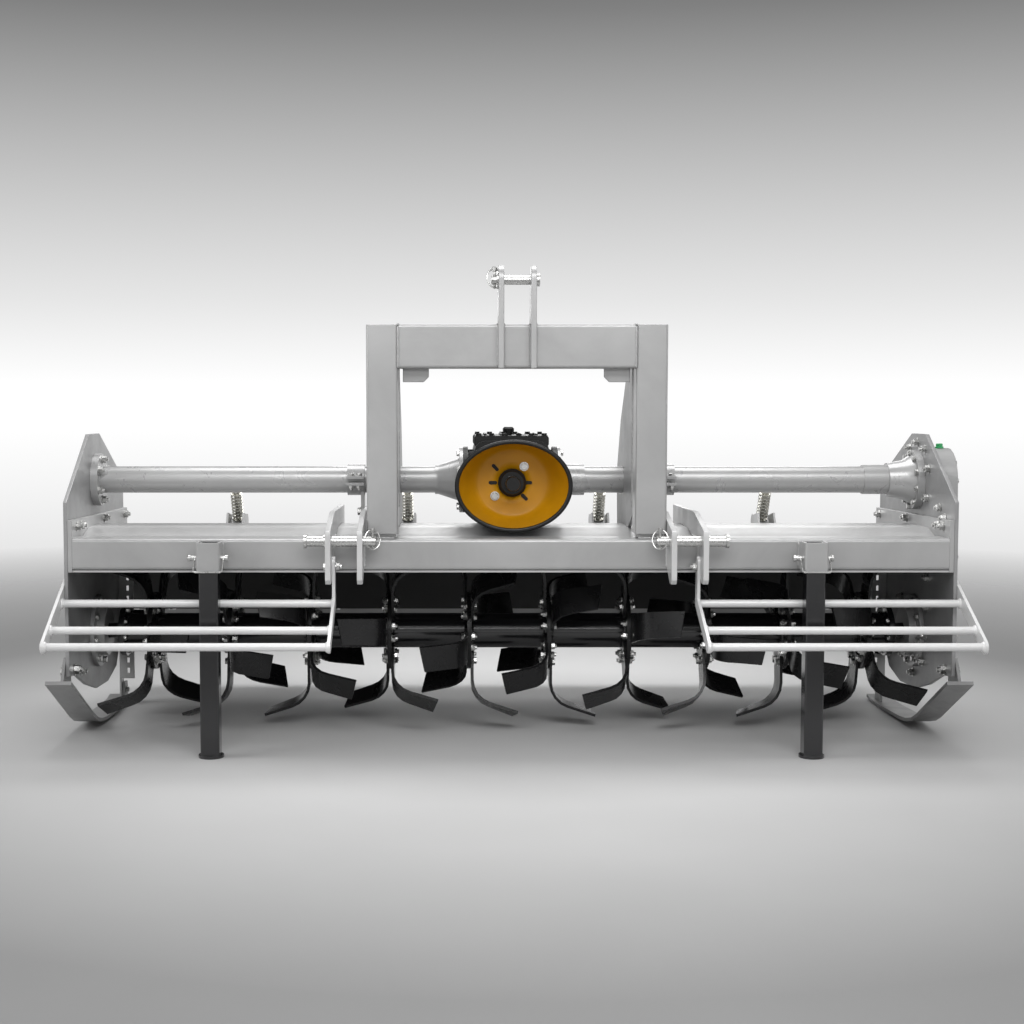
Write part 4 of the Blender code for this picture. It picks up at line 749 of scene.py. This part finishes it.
for x, z in ((0.033, 0.045), (-0.048, -0.037)):
    stamp(bm, BOLT, (GEAR_X + x, SHIELD_BACK, TUBE_Z + z), (0, -1, 0), 0.0118, x * 50)
close_piece(bm, "pto_shield_screws", zinc, "frame")

shaft_steel = metal("shaft_bare_steel", (0.42, 0.42, 0.42), 0.30, 0.25, 500.0)
finish(["pto_shaft"], shaft_steel, 0.0004)
bm = bmesh.new()
turn_profile(bm, [(0.0180, 0.0), (0.0196, 0.0), (0.0200, 0.002), (0.0200, 0.036), (0.0185, 0.0395),
                  (0.0, 0.0395), (0.0, 0.0380), (0.0180, 0.0370), (0.0180, 0.0)], 32,
             (GEAR_X, 0.136, TUBE_Z), (0, -1, 0))
turn_profile(bm, [(0.0190, 0.0), (0.0335, 0.0), (0.0340, 0.002), (0.0315, 0.0055),
                  (0.0190, 0.0055), (0.0190, 0.0)], 40, (GEAR_X, 0.1640, TUBE_Z), (0, -1, 0))
close_piece(bm, "pto_shaft_cap", black_plastic, "power_shaft")

# ---- Front guards ---------------------------------------------------------------------------
# Three round bars a side, welded through flat arms and brushed with silver paint. The inner
# arm is bolted to the outer link plate and the outer arm to the side plate.
bar_paint = paint("bar_paint_silver", (0.65, 0.65, 0.65), 0.38, 0.20, 0.03, 0.03, 0.02, 0.05)
finish(["guard_left", "guard_right"], bar_paint, 0.0008)
BARS = ((-0.022, 0.404), (-0.150, 0.350), (-0.215, 0.317))
bm = bmesh.new()
rings = bmesh.new()
for side, name in ((-1, "left"), (1, "right")):
    arm = side_face(f"lower_link_plate_outer_{name}", -side)
    stamp(bm, BOLT, (side_face(f"lower_link_plate_outer_{name}", side), -0.030, 0.503),
          (side, 0, 0), 0.0115, 0.5)
    stamp(bm, NUT, (arm - side * 0.0095, -0.030, 0.503), (-side, 0, 0), 0.0115, 0.2)
    outer = side_face(f"guard_{name}", side) - side * 0.003
    for y, z in ((0.036, 0.440), (0.005, 0.424)):
        stamp(bm, BOLT, (outer, y, z), (side, 0, 0), 0.0115, y * 40)
    for y, z in BARS:
        for x, way in ((outer - side * 0.0082, -side), (arm - side * 0.0002, side)):
            turn_profile(rings, [(0.0100, -0.001), (0.0150, -0.001), (0.0144, 0.0015),
                                 (0.0118, 0.0045), (0.0100, 0.005)], 16, (x, y, z), (way, 0, 0))
close_piece(bm, "guard_bolts", zinc, "frame")
close_piece(rings, "guard_welds", bar_paint, "frame", 60)

# ---- Rotor ----------------------------------------------------------------------------------
# A black tube with ten flanges. Each flange carries six bent blades of spring steel, three to
# each side, held by two zinc bolts a blade, and an end flange joins each stub shaft.
black_paint = paint("gloss_black", (0.008, 0.008, 0.009), 0.15, 0.0, 0.2, 0.03, 0.01, 0.60, 0.4)
blade_paint = paint("blade_black", (0.009, 0.009, 0.0095), 0.27, 0.0, 0.25, 0.08, 0.02, 0.05, 0.32)
finish(["rotor_tube"], black_paint)
BLADE_SETS = [f"blade_set_{i}" for i in range(1, 11)]
finish(BLADE_SETS, blade_paint, 0.0015)
ROTOR_X, SET_PITCH = 0.006, 0.227
FIRST_PHASE, PHASE_STEP = radians(-30), radians(18.3)
BLADE_BOLTS = ((-0.019, 0.086), (0.017, 0.090))
bm = bmesh.new()
FLANGES = [ROTOR_X + (number - 4.5) * SET_PITCH for number in range(len(BLADE_SETS))]
BLADES = 6
for number, flange_x in enumerate(FLANGES):
    for blade in range(BLADES):
        side = 1 if blade % 2 == 0 else -1
        swing = Matrix.Rotation(FIRST_PHASE + number * PHASE_STEP + blade * 2 * pi / BLADES, 4, "X")
        for across, out in BLADE_BOLTS:
            for face, shape in ((side * 0.0130, BOLT), (-side * 0.0061, NUT)):
                at = swing @ Vector((0.0, across, out))
                place = Vector((flange_x + face, ROTOR_Y, ROTOR_Z)) + at
                stamp(bm, shape, place, (face, 0, 0), 0.0115, out * 90 + blade)
for side in (-1, 1):
    x = side * (PLATE_IN - 0.034 - 0.055 - 0.0005)
    for place in ring_places(x, ROTOR_Y, ROTOR_Z, 0.0625, 8, 0.2):
        stamp(bm, BOLT, place, (-side, 0, 0), 0.009, place[1] * 50)
close_piece(bm, "rotor_bolts", zinc, "rotor")
bm = bmesh.new()
for flange_x in FLANGES:
    for face in (-1, 1):
        turn_profile(bm, [(0.0495, -0.001), (0.0575, -0.001), (0.0570, 0.002), (0.0530, 0.0065),
                          (0.0495, 0.007)], 40, (flange_x + face * 0.006, ROTOR_Y, ROTOR_Z),
                     (face, 0, 0))
close_piece(bm, "rotor_flange_welds", black_paint, "rotor", 60)

# ---- Stands ---------------------------------------------------------------------------------
# Square sleeves welded on the beam's face, each with a black square leg on a round foot. A pin
# through both holds the height, locked by a sprung wire that swings under the sleeve.
finish(["stand_socket_left", "stand_socket_right"], frame_paint, 0.0010)
finish(["stand_leg_left", "stand_leg_right"], black_paint, 0.0015)
finish(["stand_pin_left", "stand_pin_right"], zinc, 0.0004)
STAND_PIN = (-0.067, 0.530)
bm = bmesh.new()
for side, name in ((-1, "left"), (1, "right")):
    for end in (-1, 1):
        x = side_face(f"stand_socket_{name}", end) - end * 0.004
        weld_line(bm, (x, -0.0005, 0.500), (x, -0.0005, 0.566), 0.0045)
close_piece(bm, "stand_socket_welds", frame_paint, "frame", 60)
bm = bmesh.new()
for name in ("left", "right"):
    low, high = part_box(f"stand_pin_{name}")
    for x, way, long in ((low.x - MIDDLE_X + 0.003, -1, 0.013),
                         (high.x - MIDDLE_X - 0.003, 1, 0.007)):
        turn_profile(bm, [(0, 0), (0.0066, 0), (0.0066, long - 0.004), (0.0088, long - 0.0035),
                          (0.0088, long + 0.002), (0.0076, long + 0.0035), (0, long + 0.0035)], 18,
                     (x, *STAND_PIN), (way, 0, 0))
close_piece(bm, "stand_pin_heads", zinc, "frame")

# ---- Skids ----------------------------------------------------------------------------------
# Bent flat runners under the side plates. Each turns on a large bolt at its front ear and is
# set in height by a perforated angle bolted inside the side plate.
skid_paint = paint("skid_paint_worn", (0.22, 0.22, 0.22), 0.42, 0.35, 0.2, 0.2, 0.2)
finish(["skid_left", "skid_right"], skid_paint)
finish(["skid_strut_left", "skid_strut_right"], frame_paint, 0.0006)
bm = bmesh.new()
for side, name in ((-1, "left"), (1, "right")):
    ear = side * (PLATE_OUT + 0.0092)
    stamp(bm, BOLT, (ear, 0.036, 0.212), (side, 0, 0), 0.0155, 0.3)
    stamp(bm, NUT, (side * (PLATE_IN - 0.0003), 0.060, 0.212), (-side, 0, 0), 0.0150, 0.6)
    strut = side * (PLATE_IN - 0.0075)
    for z in (0.330, 0.385):
        stamp(bm, NUT, (strut, 0.660, z), (-side, 0, 0), 0.0105, z * 20)
        stamp(bm, BOLT, (side * PLATE_OUT, 0.660, z), (side, 0, 0), 0.0105, z * 13)
    stamp(bm, BOLT, (side * (PLATE_IN - 0.0165), 0.668, 0.046), (-side, 0, 0), 0.0095, 0.3)
close_piece(bm, "skid_bolts", zinc, "frame")

# ---- Tailboard springs ----------------------------------------------------------------------
# Four zinc rods with an eye on the tailboard. Each slides through a guide block on the hood
# against a coil spring, held by two nuts on its threaded top.
EYE = (0.894345, 0.263531)
GUIDE = (0.710, 0.565)
along = Vector((GUIDE[0] - EYE[0], GUIDE[1] - EYE[1]))
REACH = along.length
ROD_WAY = Vector((0, *along.normalized()))
SPRING_LOW, SPRING_HIGH = REACH + 0.016, REACH + 0.112
ROD, WIRE, COIL, TURNS = 0.0078, 0.0030, 0.0158, 7.5
spring_steel = metal("spring_zinc", (0.62, 0.61, 0.56), 0.26, 0.15, 300.0)
for number in range(1, 5):
    low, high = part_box(f"spring_rod_{number}")
    x = (low.x + high.x) / 2 - MIDDLE_X
    bm = bmesh.new()
    rod = [(0, 0.012), (ROD, 0.012), (ROD, REACH - 0.090), (0.0135, REACH - 0.089),
           (0.0135, REACH - 0.078), (ROD, REACH - 0.077), (ROD, SPRING_LOW - 0.0015),
           (0.0185, SPRING_LOW - 0.001), (0.0185, SPRING_LOW + 0.002), (ROD, SPRING_LOW + 0.0025),
           (ROD, SPRING_HIGH - 0.0025), (0.0185, SPRING_HIGH - 0.002),
           (0.0185, SPRING_HIGH + 0.001), (0.0125, SPRING_HIGH + 0.0015),
           (0.0125, SPRING_HIGH + 0.012)]
    for k in range(5):
        rod += [(ROD, SPRING_HIGH + 0.0125 + 0.0026 * k), (ROD - 0.0009,
                                                           SPRING_HIGH + 0.0138 + 0.0026 * k)]
    turn_profile(bm, rod + [(0, SPRING_HIGH + 0.026)], 20)
    coil = bmesh.new()
    bmesh.ops.create_circle(coil, segments=8, radius=WIRE,
                            matrix=Matrix.Translation((COIL, 0, SPRING_LOW + 0.005))
                            @ Matrix.Rotation(pi / 2, 4, "X"))
    steps = int(TURNS * 18)
    rise = (SPRING_HIGH - SPRING_LOW - 0.010) / steps
    bmesh.ops.spin(coil, geom=coil.verts[:] + coil.edges[:], cent=(0, 0, 0), axis=(0, 0, 1),
                   dvec=(0, 0, rise), angle=2 * pi * TURNS, steps=steps, use_merge=False)
    bmesh.ops.holes_fill(coil, edges=[e for e in coil.edges if len(e.link_faces) == 1], sides=0)
    join_in(bm, coil, Matrix.Identity(4))
    bmesh.ops.transform(bm, matrix=facing((x, *EYE), ROD_WAY), verts=bm.verts)
    turn_profile(bm, [(0.0068, -0.012), (0.0155, -0.012), (0.0162, -0.011), (0.0162, 0.011),
                      (0.0155, 0.012), (0.0068, 0.012), (0.0068, -0.012)], 28, (x, *EYE),
                 (1, 0, 0))
    spring = close_piece(bm, f"tail_spring_{number}", spring_steel, "spring_rods", 40)
    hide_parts(f"spring_rod_{number}")
